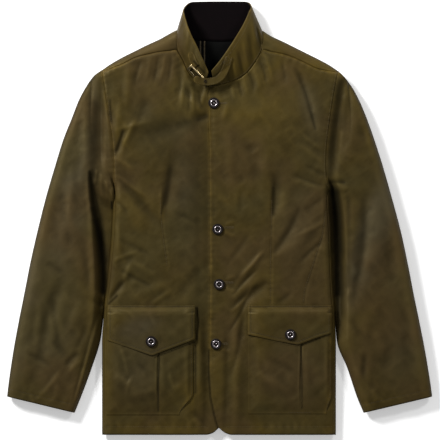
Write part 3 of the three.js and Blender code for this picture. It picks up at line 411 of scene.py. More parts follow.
# Column and row of the fronts' upper edges, the back's neck edge and the three hems.
TOP_LEFT = [
    (102, 71.6), (110, 69), (123, 64), (136, 57.5), (148, 54.5), (160, 52), (170, 51), (176, 50), (179, 55),
    (182.5, 62), (188, 74), (195, 81), (203, 85), (214, 87), (240, 88)]
TOP_RIGHT = [
    (205, 88), (216, 87), (228, 84), (240, 80), (249, 72.5), (256, 63), (260.5, 55), (263.3, 50),
    (270, 51.7), (282, 54), (293, 57.5), (305, 63), (318, 69), (328, 71), (338, 72.6)]
NECK_BACK = [
    (176, 36.5), (181, 38.5), (192, 40.6), (220, 42), (247, 40.6), (258.5, 38.5), (263.3, 36.5)]
PLACKET = [
    (80, 208.6), (115, 209), (150, 210), (290, 210.6), (371, 209.6), (397, 211.3), (414, 214.8),
    (428, 218.8), (436, 222)]
HEM_LEFT = [
    (100, 434.8), (206, 434.8), (212, 433.4), (219, 427.6), (231, 412)]
HEM_RIGHT = [
    (208, 420), (219, 428), (225.5, 433), (232, 434.8), (340, 434.8)]
HEM_BACK = [
    (100, 434.8), (203, 434.8), (211, 431.6), (216, 427.4), (219, 426), (222, 427.4), (228, 432),
    (236, 434.8), (340, 434.8)]
# Rings of a sleeve: outer column and row, inner column and row, height in mm, where it falls
# off towards the inner edge as a share of its width, and the height there.
SLEEVE_LEFT = [
    (102, 70, 113, 187, 30, 0.96, 29), (93.5, 76.5, 112.7, 189, 31, 0.93, 26),
    (86, 87, 112.7, 191.5, 32, 0.9, 27), (79, 100, 112.7, 195, 33, 0.8, 32),
    (71.5, 119, 112.7, 199, 34, 0.66, 33), (63.5, 139, 112.6, 205, 34, 0.58, 26),
    (54.5, 168, 112.2, 213, 34, 0.66, 15), (45.5, 199, 111.4, 225, 34, 0.77, 11),
    (38, 229, 110, 246, 34, 0.83, 10), (30.5, 262, 107.3, 280, 33, 0.9, 11),
    (25, 290, 104.3, 308.6, 32, 0.95, 14), (19, 320, 100.6, 339, 31, 0.97, 20),
    (13.5, 350, 91.6, 368.4, 29, 0.98, 24), (9, 380, 81, 397, 27, 0.98, 25),
    (7, 396.5, 74.6, 412.8, 25, 0.98, 24)]
SLEEVE_RIGHT = [
    (338, 71, 329.5, 187, 30, 0.96, 29), (345, 78, 329.8, 189, 31, 0.93, 27),
    (352.5, 88, 329.8, 192, 32, 0.91, 23), (359.5, 101, 329.8, 196, 33, 0.88, 19),
    (367, 119, 329.9, 200, 34, 0.86, 15), (375.5, 143, 330.3, 207, 34, 0.84, 12),
    (384, 170, 330.9, 216, 34, 0.84, 10), (392.5, 200, 331.5, 229, 34, 0.85, 10),
    (401, 232, 332, 250, 34, 0.87, 10), (408.7, 268, 333.2, 284, 33, 0.88, 11),
    (413.5, 293, 334.5, 311.6, 32, 0.92, 13), (419.5, 322, 337, 341.6, 31, 0.96, 20),
    (425, 350, 347.4, 368.4, 29, 0.98, 24), (430, 380, 357, 397, 27, 0.98, 25),
    (432.3, 396.5, 363.6, 412.8, 25, 0.98, 24)]
# Ribs of the collar: base column and row, which face of the body it stands on, tip column and
# row, tip height in mm, and how far it bows out.
COLLAR = [
    (204.5, 85, 1, 208.6, 72.6, 47, 5), (195.8, 80.4, 1, 203, 59.6, 50, 7),
    (188.8, 73.4, 1, 197.4, 47.2, 51, 7), (183.2, 61.4, 1, 191.8, 36, 50, 7),
    (177.4, 49, 1, 187, 24, 46, 6), (176.6, 39, 1, 184.4, 16, 39, 5), (176.7, 31, 0, 183.2, 10.5, 28, 4),
    (177.4, 35.6, -1, 185.8, 5.4, 16, 2), (184, 38.2, -1, 193, 1.7, 9, 1), (220, 41.2, -1, 219, 1.2, 7, 0),
    (255, 38.2, -1, 244.5, 1.4, 9, 1), (261.9, 35.6, -1, 249.8, 3.2, 16, 2),
    (262.6, 31.4, 0, 251.6, 7, 28, 3), (262.8, 39, 1, 249, 12.6, 39, 3),
    (261.9, 49.6, 1, 243, 25.6, 46, 2.5), (255.4, 62.4, 1, 235.6, 38.4, 50, 2.2),
    (245.4, 74.6, 1, 227, 51.4, 51, 2.2), (231, 82.2, 1, 218.8, 62.8, 50, 2.6),
    (214.6, 86.2, 1, 211.4, 71.6, 48, 3)]
# Painted shade in crevices, under flaps and along outlines: reach in mm, share of the painted shade, and the
# line's points.
PAINTED_SHADE_LINES = [SeamLine(row[2:], half=row[0], wear=row[1]) for row in (
    (4.2, 0.8, (90, 172), (91.5, 190), (93, 208)), (6, 0.95, (93, 208), (95.5, 220)),
    (8, 1, (95.5, 220), (98.5, 232)), (10, 1, (98.5, 232), (101, 243), (103.5, 262)),
    (9.5, 0.46, (95.5, 104), (96, 124), (95.5, 150), (93, 176)),
    (9, 0.66, (340.5, 82), (337.5, 108), (334, 134), (331.5, 156), (329.8, 174)),
    (9, 0.4, (346, 100), (341, 128)), (7, 1, (103.5, 262), (104, 280), (103.5, 292)),
    (2.2, 1, (111.8, 202), (111.8, 208.5)), (15, 1, (334.5, 193), (335.5, 208), (336.8, 228), (337.8, 250)),
    (48, 0.26, (160, 120), (184, 160), (190, 205)), (9, 1, (337.8, 250), (337.4, 272), (338, 294)),
    (3.5, 0.7, (338, 294), (337.6, 319), (336.6, 333)), (2.4, 0.6, (329, 182), (344, 182.6)),
    (5.5, 0.38, (347.5, 198), (348.5, 240), (347, 286)), (1.9, 1, (196.9, 307), (198.2, 322), (197, 339)),
    (1.5, 0.85, (159.6, 354), (158.6, 380), (158.2, 411)),
    (1.5, 0.8, (300.8, 347), (301.5, 362), (302, 408)),
    (1.5, 0.9, (155, 357), (175, 349.4), (195.4, 341.4)), (1.5, 0.9, (300, 345.8), (320, 338)),
    (1.2, 0.4, (250, 336.4), (275, 342.2), (299, 346.6)), (1.1, 0.6, (195.6, 345), (195.9, 393)),
    (2.4, 0.6, (110.2, 101), (111.4, 122)), (2.8, 0.6, (123, 131), (116.5, 150)),
    (4, 0.5, (198, 120), (207, 117)), (9, 0.16, (150, 126), (205, 120)),
    (4.5, 0.28, (171, 156), (169.2, 169)), (6.6, 0.5, (170.2, 169), (168, 187)),
    (6.4, 0.6, (168, 187), (164.6, 203)), (2.8, 0.6, (163.6, 203), (161.2, 214)),
    (10, 0.2, (279, 166), (280, 186)), (2.6, 0.8, (194, 62), (204, 73)),
    (3.4, 0.6, (273.4, 188), (273, 214)), (2.4, 0.5, (310.5, 112), (315, 129)),
    (2.6, 0.7, (109, 303.5), (117, 296)), (2, 0.4, (262, 50), (259, 58)),
    (2.4, 0.7, (209, 350), (208.6, 371), (210.4, 397), (213.9, 414), (217.8, 428)),
    (5, 0.25, (362, 200), (363.6, 226), (361, 262)), (4.4, 0.88, (193, 69.2), (200.4, 76.6)),
    (2, 0.75, (223.6, 62), (220.6, 71), (216, 76.6), (207, 79.6)), (3.4, 0.7, (205.6, 79), (206.4, 83)),
    (1.6, 0.8, (205.6, 80), (206.2, 88)),
)]
# Painted shade along the sleeves' outer and inner edges.
PAINTED_SHADE_LINES += [SeamLine(tuple((row[k], row[k + 1]) for row in table[first:]), half=half, wear=share)
             for table, k, first, half, share in (
                 (SLEEVE_LEFT, 0, 1, 5.0, 0.55), (SLEEVE_LEFT, 0, 1, 17.0, 0.2),
                 (SLEEVE_RIGHT, 0, 1, 3.0, 0.5), (SLEEVE_LEFT, 2, 10, 2.4, 0.55),
                 (SLEEVE_RIGHT, 2, 10, 2.4, 0.55))]
# Painted shade along the cuffs, the body's sides below the pockets, the hems and the shoulders.
PAINTED_SHADE_LINES += [SeamLine(line, half=2.2, wear=0.5) for line in (
    ((7, 396.5), (74.6, 412.8)), ((432.3, 396.5), (363.6, 412.8)), ((BODY_LEFT, 345), (BODY_LEFT, HEM)),
    ((HEM_EDGE, 345), (HEM_EDGE, HEM)), tuple(HEM_LEFT[:3]), tuple(HEM_RIGHT[3:]), tuple(SHOULDER[:7]),
    tuple(SHOULDER[10:]))]


def column(table: Sequence[tuple], key: int, value: int) -> Curve:
    """Curve through one column of a table over another."""
    return Curve([(row[key], row[value]) for row in table])


def unfold(inside: Array) -> Array:
    """Arc length on a rounded edge, from the distance inside it, in mm."""
    turned = ARC * np.arccos(np.clip(1 - inside / EDGE, -1, 1)) * 2 / math.pi
    return np.where(inside < EDGE, turned, ARC + inside - EDGE)


def refold(arc: Array) -> Array:
    """Distance inside a rounded edge, from the arc length on it, in mm."""
    turned = EDGE * (1 - np.cos(np.clip(arc / ARC, 0, 1) * math.pi / 2))
    return np.where(arc < ARC, turned, EDGE + arc - ARC)


def flipped(table: Line) -> tuple[Point, ...]:
    """Points of a table that is kept as row and column."""
    return tuple((x, y) for y, x in table)


class Block:
    """The jacket's heights: outlines, loft, folds and sewn lines as fields of the plan."""

    fold_gain = 1.25
    # Reach in mm of the worn wax and painted highlight along the sewn lines.
    rub_and_highlight_reach = 3.6

    def __init__(self) -> None:
        """Set up the outline curves, the lines that are sewn and the noises."""
        self.left, self.right, self.high = (column(BODY, 0, k) for k in (1, 2, 3))
        self.shoulder, self.neck_back, self.placket = Curve(SHOULDER), Curve(NECK_BACK), Curve(PLACKET)
        self.arm_left, self.arm_right = Curve(ARM_LEFT), Curve(ARM_RIGHT)
        self.top_left, self.top_right = Curve(TOP_LEFT), Curve(TOP_RIGHT)
        self.hem_left, self.hem_right, self.hem_back = Curve(HEM_LEFT), Curve(HEM_RIGHT), Curve(HEM_BACK)
        edge = flipped(PLACKET)
        darts = (((161, 200), (161.6, 215), (162.6, 229), (165, 247), (167.5, 266)),
                 ((272.2, 196), (271.6, 215), (270.9, 260), (270.5, 303)))
        side = ((326, 208), (322.7, 234.7), (314, 262), (305, 290), (303.6, 303))
        hems = (((BODY_LEFT, 426.4), (207, 426.4)), ((224, 426.4), (HEM_EDGE, 426.4)))
        cuffs = (((9.2, 388.6), (76.4, 404.9)), ((430.4, 388.6), (361.8, 404.9)))
        shoulders = (tuple(TOP_LEFT[:8]), tuple(TOP_RIGHT[7:]))
        # Sewn lines sink and pucker the cloth and carry worn wax with painted highlight; the line just off
        # the placket's edge paints the highlight of that edge.
        self.seams = [
            SeamLine(flipped(ARM_LEFT), sink=0.9, half=2.6, pucker=0.35, wear=0.9),
            SeamLine(flipped(ARM_RIGHT), sink=0.4, half=3.2, pucker=0.35, wear=0.35),
            *(SeamLine(line, sink=0.9, pucker=0.45, pitch=13) for line in shoulders),
            SeamLine(tuple(TOP_LEFT[7:]), sink=0.6, pucker=0.3, reach=14, pitch=13, wear=0.6),
            SeamLine(tuple(TOP_RIGHT[:8]), sink=-0.35, pucker=0.5, reach=16, pitch=13, wear=0.5),
            *(SeamLine(line, sink=0.9, pucker=0.25, wear=0.35) for line in darts),
            SeamLine(side, sink=0.8, pucker=0.25, wear=0.3),
            SeamLine(tuple((x + 3.6, y) for x, y in edge[:-2]), sink=0.12, pucker=0.2, wear=0.0),
            SeamLine(tuple((x + 0.1, y) for x, y in edge[:5]), sink=-0.25, half=2.4, pucker=0.12, wear=0.8),
            *(SeamLine(line, sink=0.6, pucker=0.4, pitch=17, wear=0.35) for line in hems),
            *(SeamLine(line, sink=0.4, pucker=0.4, pitch=15, wear=0.25) for line in cuffs)]
        self.rolls = ((0.7, Noise(11, 46.0)), (0.4, Noise(5, 21.0)))
        self.crumples = ((0.6, Noise(8, 19.0)), (0.28, Noise(4, 9.0)))

    def edge_share(self, x: Array, y: Array) -> Array:
        """Share of the full loft, easing to 0 at the folded edges.

        Args:
            x, y: mm across and along.
        Returns:
            The share at each point.
        """
        gx, gy = on_grid(x, y)
        inside = np.minimum((gx - self.left(gy)) * GRID, (self.right(gy) - gx) * GRID)
        inside = np.minimum(inside, (gy - self.shoulder(gx)) * GRID * SHOULDER_COS)
        r = 1 - np.clip(inside / EDGE, 0, 1)
        return np.sqrt(np.maximum(0, 1 - r * r))

    def folds(self, x: Array, y: Array) -> Array:
        """Add up all folds, gathers and sewn lines.

        Args:
            x, y: mm across and along.
        Returns:
            Their height in mm.
        """
        total = sum(up * noise(x, y) for up, noise in self.rolls)
        total = total - sum(up * np.abs(noise(x, y)) for up, noise in self.crumples)
        total = total + self.fold_gain * sum(crease.height(x, y) for crease in FOLDS)
        return total + sum(seam.height(x, y) for seam in self.seams)

    def top(self, x: Array, y: Array) -> Array:
        """Height of the fronts' outer face."""
        g = self.edge_share(x, y)
        return self.high(on_grid(x, y)[1]) * 0.5 * (1 + g) + self.folds(x, y) * g * g

    def under(self, x: Array, y: Array) -> Array:
        """Height of the back's outer face."""
        return self.high(on_grid(x, y)[1]) * 0.5 * (1 - self.edge_share(x, y))

    def tone(self, x: Array, y: Array) -> Array:
        """Share that turns the colour grey below 0.5 and golden above it: partly the wax's own uneven tone,
        partly painted sheen and painted light.
        """
        return np.clip(0.5 + sum(blot.amount(x, y) for blot in TONE_AND_LIGHT_PATCHES), 0.0, 1.0)

    def painted_shade(self, x: Array, y: Array) -> Array:
        """Share of painted shade in crevices, under flaps and along outlines."""
        return np.max([line.share(x, y, line.half) for line in PAINTED_SHADE_LINES], axis=0)

    def wear(self, x: Array, y: Array) -> Array:
        """Share of worn, paler wax with painted highlight near the sewn lines."""
        return np.max([seam.share(x, y, self.rub_and_highlight_reach) for seam in self.seams], axis=0)


BLOCK = Block()


class Wiring:
    """Nodes of a material or a group, wired in code."""

    def __init__(self, tree: bpy.types.NodeTree) -> None:
        """Take the tree."""
        self.tree = tree

    def node(self, kind: str, feeds: Optional[dict] = None, **values: object) -> bpy.types.Node:
        """Add a node.

        Args:
            kind: the node's type.
            feeds: what goes into its inputs, by index or name: sockets, numbers or colours.
            values: its properties, or numbers for inputs by name with _ for a space.
        Returns:
            The node.
        """
        made = self.tree.nodes.new(kind)
        for key, value in values.items():
            if hasattr(made, key):
                setattr(made, key, value)
            else:
                made.inputs[key.replace("_", " ")].default_value = value
        for key, value in (feeds or {}).items():
            self.feed(value, made.inputs[key])
        return made

    def feed(self, value: object, socket: Socket) -> None:
        """Link a socket, or set a value, on an input.

        Args:
            value: a socket, a number or a colour.
            socket: the input.
        """
        if isinstance(value, Socket):
            self.tree.links.new(value, socket)
        else:
            socket.default_value = value

    def place(self) -> Socket:
        """Object coordinates."""
        return self.node("ShaderNodeTexCoord").outputs["Object"]

    def noise(self, scale: float, detail: float, distortion: float = 0.0) -> Socket:
        """Value of a noise on Object coordinates."""
        return self.node("ShaderNodeTexNoise", {"Vector": self.place()}, Scale=scale, Detail=detail,
                         Distortion=distortion).outputs["Fac"]

    def math(self, kind: str, *values: object) -> Socket:
        """Result of a sum on sockets or numbers."""
        return self.node("ShaderNodeMath", dict(enumerate(values)), operation=kind).outputs[0]

    def span(self, value: Socket, low: float, high: float, a: float, b: float) -> Socket:
        """Value with its stretch from low to high mapped onto a to b."""
        return self.node("ShaderNodeMapRange", {"Value": value}, From_Min=low, From_Max=high,
                         To_Min=a, To_Max=b).outputs[0]

    def mix(self, share: Socket, a: Socket, b: Tone) -> Socket:
        """Colour socket blended into a fixed colour by a share."""
        return self.node("ShaderNodeMix", {0: share, 6: a, 7: (*b, 1)}, data_type="RGBA").outputs[2]

    def scale(self, colour: Socket, by: Socket) -> Socket:
        """Colour multiplied by a value."""
        return self.node("ShaderNodeVectorMath", {0: colour, "Scale": by}, operation="SCALE").outputs[0]

    def ramp(self, value: Socket, *stops: tuple[float, Tone]) -> Socket:
        """Add a colour ramp.

        Args:
            value: what it reads.
            stops: places and colours, in order.
        Returns:
            Its colour.
        """
        made = self.node("ShaderNodeValToRGB", {"Fac": value})
        bar = made.color_ramp.elements
        bar[0].position, bar[1].position = stops[0][0], stops[-1][0]
        bar[0].color, bar[1].color = (*stops[0][1], 1), (*stops[-1][1], 1)
        for at, tone in stops[1:-1]:
            bar.new(at).color = (*tone, 1)
        return made.outputs["Color"]


class Finish(Wiring):
    """Base of the finishes: a named node material."""

    name = "finish"

    def __init__(self) -> None:
        """Make the material and its shader."""
        self.material = bpy.data.materials.new(self.name)
        self.material.use_nodes = True
        super().__init__(self.material.node_tree)
        self.shader = self.tree.nodes["Principled BSDF"]
        self.build()

    def build(self) -> None:
        """Wire the nodes; each finish has its own."""

    def dress(self, colour: Socket, rough: object, specular: Optional[float] = None) -> None:
        """Give the shader its colour and gloss.

        Args:
            colour: the base colour.
            rough: a roughness, fixed or a socket.
            specular: the specular level, where it isn't the usual one.
        """
        self.feed(colour, self.shader.inputs["Base Color"])
        self.feed(rough, self.shader.inputs["Roughness"])
        if specular is not None:
            self.shader.inputs["Specular IOR Level"].default_value = specular

    def relief(self, height: Socket, strength: float, distance: float) -> None:
        """Give the shader a bump, distance metres high."""
        bump = self.node("ShaderNodeBump", {"Height": height}, Strength=strength, Distance=distance)
        self.feed(bump.outputs["Normal"], self.shader.inputs["Normal"])


def noise_group() -> bpy.types.NodeTree:
    """Make the group that turns a vector into cloth mottle, weave and grain values.

    Returns:
        The group.
    """
    group = bpy.data.node_groups.new("cloth_grain", "ShaderNodeTree")
    group.interface.new_socket("Vector", in_out="INPUT", socket_type="NodeSocketVector")
    wiring = Wiring(group)
    place = {"Vector": wiring.node("NodeGroupInput").outputs["Vector"]}
    values = {name: wiring.node("ShaderNodeTexNoise", place, Scale=scale, Detail=detail, Roughness=rough)
              .outputs["Fac"] for name, scale, detail, rough in (
                  ("Mottle", 14.0, 3.0, 0.55), ("Blotch", 55.0, 4.0, 0.6),
                  ("Grain", 620.0, 3.0, 0.7), ("Drift", 8.5, 2.0, 0.45))}
    values["Weave"] = wiring.math("MULTIPLY", *(
        wiring.node("ShaderNodeTexWave", place, bands_direction=direction, Scale=260.0, Distortion=0.6,
                    Detail=1.0).outputs["Fac"] for direction in "XY"))
    for name in values:
        group.interface.new_socket(name, in_out="OUTPUT", socket_type="NodeSocketFloat")
    wiring.node("NodeGroupOutput", values)
    return group


@dataclass(frozen=True)
class Shade:
    """Linear colours of the waxed cotton."""

    body: Tone = (0.0345, 0.0232, 0.0052)
    pale: Tone = (0.046, 0.0318, 0.0076)
    deep: Tone = (0.0235, 0.0157, 0.0038)
    # Pale golden colour of worn wax and painted highlight.
    rubbed_and_highlight: Tone = (0.094, 0.060, 0.0115)
    # Grey and golden colours of the patches: partly the wax's own tone, partly painted sheen for the grey and
    # painted light for the golden.
    bloom_and_sheen: Tone = (0.0405, 0.033, 0.0185)
    gold_and_highlight: Tone = (0.064, 0.0425, 0.0072)
    umber: Tone = (0.0385, 0.0240, 0.0086)
    moss: Tone = (0.0325, 0.0250, 0.0078)
    glint: Tone = (1.0, 0.82, 0.42)


class WaxedCotton(Finish):
    """Waxed cotton: mottled olive brown, paler where worn and where highlight is painted, with painted shade
    in its folds and crevices.
    """

    name = "waxed_cotton"
    shade = Shade()
    # How far the painted highlight on the folds' ridges, the painted shade in their troughs, and the painted
    # shade in deep crevices change the colour.
    painted_fold_light_range = (0.42, 1.58)
    painted_shade_range = (1.0, 0.03)

    def build(self) -> None:
        """Wire mottle, worn edges with painted highlight, grey and golden patches of own tone and painted
        light, painted fold light and shade, painted shade in crevices, weave and grain.
        """
        grain = self.node("ShaderNodeGroup", node_tree=noise_group())
        self.feed(self.place(), grain.inputs["Vector"])
        rubbed_and_highlight, crease, tone, painted_shade = (
            self.node("ShaderNodeAttribute", attribute_name=name).outputs["Fac"]
            for name in ("wear", "crease", "tone", "painted_shade"))
        blotch, drift = grain.outputs["Blotch"], grain.outputs["Drift"]
        mottle = self.math("MULTIPLY_ADD", grain.outputs["Mottle"], 0.5, 0.14)
        mottle = self.math("MULTIPLY_ADD", blotch, 0.22, mottle)
        colour = self.ramp(mottle, (0.30, self.shade.deep), (0.5, self.shade.body),
                           (0.72, self.shade.pale))
        # Worn wax with painted highlight, patchy by the blotch noise.
        rub_and_highlight = self.math("MULTIPLY", rubbed_and_highlight, self.span(blotch, 0.36, 0.62, 0.25, 0.85))
        colour = self.mix(rub_and_highlight, colour, self.shade.rubbed_and_highlight)
        # Grey and golden patches, partly own tone and partly painted sheen and light, then the drift noise's
        # own umber and moss.
        for mask, none, full, most, tint in (
                (tone, 0.5, 0.0, 0.75, self.shade.bloom_and_sheen), (tone, 0.5, 1.0, 0.8, self.shade.gold_and_highlight),
                (drift, 0.5, 0.64, 0.7, self.shade.umber), (drift, 0.48, 0.36, 0.6, self.shade.moss)):
            colour = self.mix(self.span(mask, none, full, 0.0, most), colour, tint)
        # Painted shade in the folds' troughs and painted highlight on their ridges, then painted shade in the
        # crevices.
        for mask, span in ((crease, self.painted_fold_light_range), (painted_shade, self.painted_shade_range)):
            colour = self.scale(colour, self.span(mask, 0.0, 1.0, *span))
        gloss = self.span(blotch, 0.3, 0.7, 0.42, 0.62)
        self.dress(colour, self.math("MULTIPLY_ADD", painted_shade, 0.5, gloss), 0.22)
        self.shader.inputs["Specular Tint"].default_value = (*self.shade.glint, 1.0)
        self.relief(self.math("MULTIPLY_ADD", grain.outputs["Grain"], 0.5, grain.outputs["Weave"]),
                    0.3, 0.0004)


class CordLining(Finish):
    """Fine plum-brown cord inside the collar."""

    name = "plum_cord"

    def build(self) -> None:
        """Wire the cord's ribs and its soft nap."""
        lie = self.node("ShaderNodeUVMap", uv_map="cloth").outputs["UV"]
        lie = self.node("ShaderNodeVectorMath", {0: lie, 1: (3.6, 1.0, 1.0)}, operation="MULTIPLY").outputs[0]
        ribs = self.node("ShaderNodeTexWave", {"Vector": lie}, bands_direction="X", Scale=58.0,
                         Distortion=0.5, Detail=1.0)
        nap = self.noise(70.0, 4.0)
        colour = self.ramp(self.math("MULTIPLY", ribs.outputs["Fac"], nap),
                           (0.0, (0.0009, 0.0004, 0.0005)), (0.7, (0.0062, 0.0030, 0.0035)))
        self.dress(colour, self.span(nap, 0.0, 1.0, 0.82, 0.98), 0.08)
        self.relief(ribs.outputs["Fac"], 0.6, 0.0006)


class StripedLining(Finish):
    """Near-black body lining with pairs of thin pale stripes, in metres."""

    name = "dark_lining"
    pitch = 0.074
    first = 0.0371
    pair = 0.0078
    stripe = (0.0008, 0.0016)

    def build(self) -> None:
        """Wire stripes along the garment over a fine weave."""
        split = self.node("ShaderNodeSeparateXYZ", {0: self.place()})
        lines = []
        for offset in (0.0, self.pair):
            moved = self.math("ADD", split.outputs["X"], self.first + self.pitch * 4 - offset)
            lines.append(self.span(self.math("PINGPONG", moved, self.pitch / 2), *self.stripe, 1.0, 0.0))
        nap = self.noise(300.0, 3.0)
        colour = self.ramp(self.math("MULTIPLY", nap, self.math("MAXIMUM", *lines)),
                           (0.0, (0.0012, 0.0012, 0.0009)), (0.6, (0.11, 0.085, 0.05)))
        self.dress(colour, 0.85, 0.08)
        self.relief(nap, 0.3, 0.0003)


class Thread(Finish):
    """Waxed sewing thread, a shade paler than the cloth."""

    name = "thread"
    tone = (0.105, 0.072, 0.022)

    def build(self) -> None:
        """Wire a slight change of tone along the thread."""
        half = tuple(c * 0.5 for c in self.tone)
        self.dress(self.ramp(self.noise(220.0, 2.0), (0.0, half), (1.0, self.tone)), 0.6)


class DarkThread(Thread):
    """Thread sunk in a seam."""

    name = "thread_dark"
    tone = (0.042, 0.028, 0.009)


class Nickel(Finish):
    """Pale nickel of the buttons' rings, with fine wear."""

    name = "nickel"
    tones = ((0.34, 0.30, 0.31), (0.60, 0.55, 0.56))
    rough = (0.18, 0.36)

    def build(self) -> None:
        """Wire a patchy tone and polish."""
        nap = self.noise(160.0, 4.0)
        colour = self.ramp(nap, (0.0, self.tones[0]), (1.0, self.tones[1]))
        self.dress(self.paint_shade(colour), self.span(nap, 0.0, 1.0, *self.rough))
        self.shader.inputs["Metallic"].default_value = 1.0

    def paint_shade(self, colour: Socket) -> Socket:
        """Paint shade on the colour in places; the nickel gets none."""
        return colour


class Brass(Nickel):
    """Polished brass of the buckle, with painted shade on the bar that lies in the cloth."""

    name = "brass"
    tones = ((0.78, 0.55, 0.22), (1.0, 0.84, 0.50))
    diagonal = (0.7071, 0.7071, 0.0)
    # Places across the frame where the lower bar's painted shade gives way to the lit brass.
    dull_from, bright_from = 0.1655, 0.1695

    def paint_shade(self, colour: Socket) -> Socket:
        """Paint shade on the frame's lower bar, by its place across the frame.

        Args:
            colour: the polished colour.
        Returns:
            The colour with its painted shade.
        """
        over = self.node("ShaderNodeVectorMath", {0: self.place(), 1: self.diagonal},
                         operation="DOT_PRODUCT")
        return self.scale(colour, self.span(over.outputs["Value"], self.dull_from, self.bright_from,
                                            0.16, 1.0))


class Horn(Finish):
    """Dark horn-look plastic."""

    name = "dark_horn"

    def build(self) -> None:
        """Wire streaks of brown in near black."""
        streak = self.noise(240.0, 5.0, 1.2)
        colour = self.ramp(streak, (0.0, (0.0018, 0.0012, 0.0011)), (1.0, (0.012, 0.0075, 0.0060)))
        self.dress(colour, self.span(streak, 0.0, 1.0, 0.42, 0.6), 0.12)


class Slot(Enum):
    """Material slots of the record."""

    WAX = "waxed_cotton"
    CORD = "plum_cord"
    DARK = "dark_lining"
    BRASS = "brass"
    HORN = "dark_horn"


class Wardrobe:
    """All finishes, made once."""

    def __init__(self) -> None:
        """Make each finish."""
        self.wax, self.cord, self.lining = WaxedCotton(), CordLining(), StripedLining()
        self.thread, self.dark_thread = Thread(), DarkThread()
        self.brass, self.nickel, self.horn = Brass(), Nickel(), Horn()


def graded(*parts: tuple[float, float, int]) -> Array:
    """Knots from 0 to 1 out of stretches of (start, end, count)."""
    knots = [np.linspace(a, b, n, endpoint=False) for a, b, n in parts]
    return np.append(np.concatenate(knots), parts[-1][1])


def new_object(name: str, data: bpy.types.ID) -> Piece:
    """Link a new object to the scene.

    Args:
        name: its name.
        data: its mesh, lamp or camera.
    Returns:
        The object.
    """
    made = bpy.data.objects.new(name, data)
    bpy.context.scene.collection.objects.link(made)
    return made


def enter(piece: Piece, finish: Finish, slot: Slot, *nodes: str) -> None:
    """Dress a piece, hang it from the root and hide the frame's parts that it stands for.

    Args:
        piece: the piece.
        finish: its material.
        slot: not used.
        nodes: what it stands for.
    """
    piece.data.materials.clear()
    piece.data.materials.append(finish.material)
    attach(piece, "root")
    if nodes:
        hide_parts(*nodes)


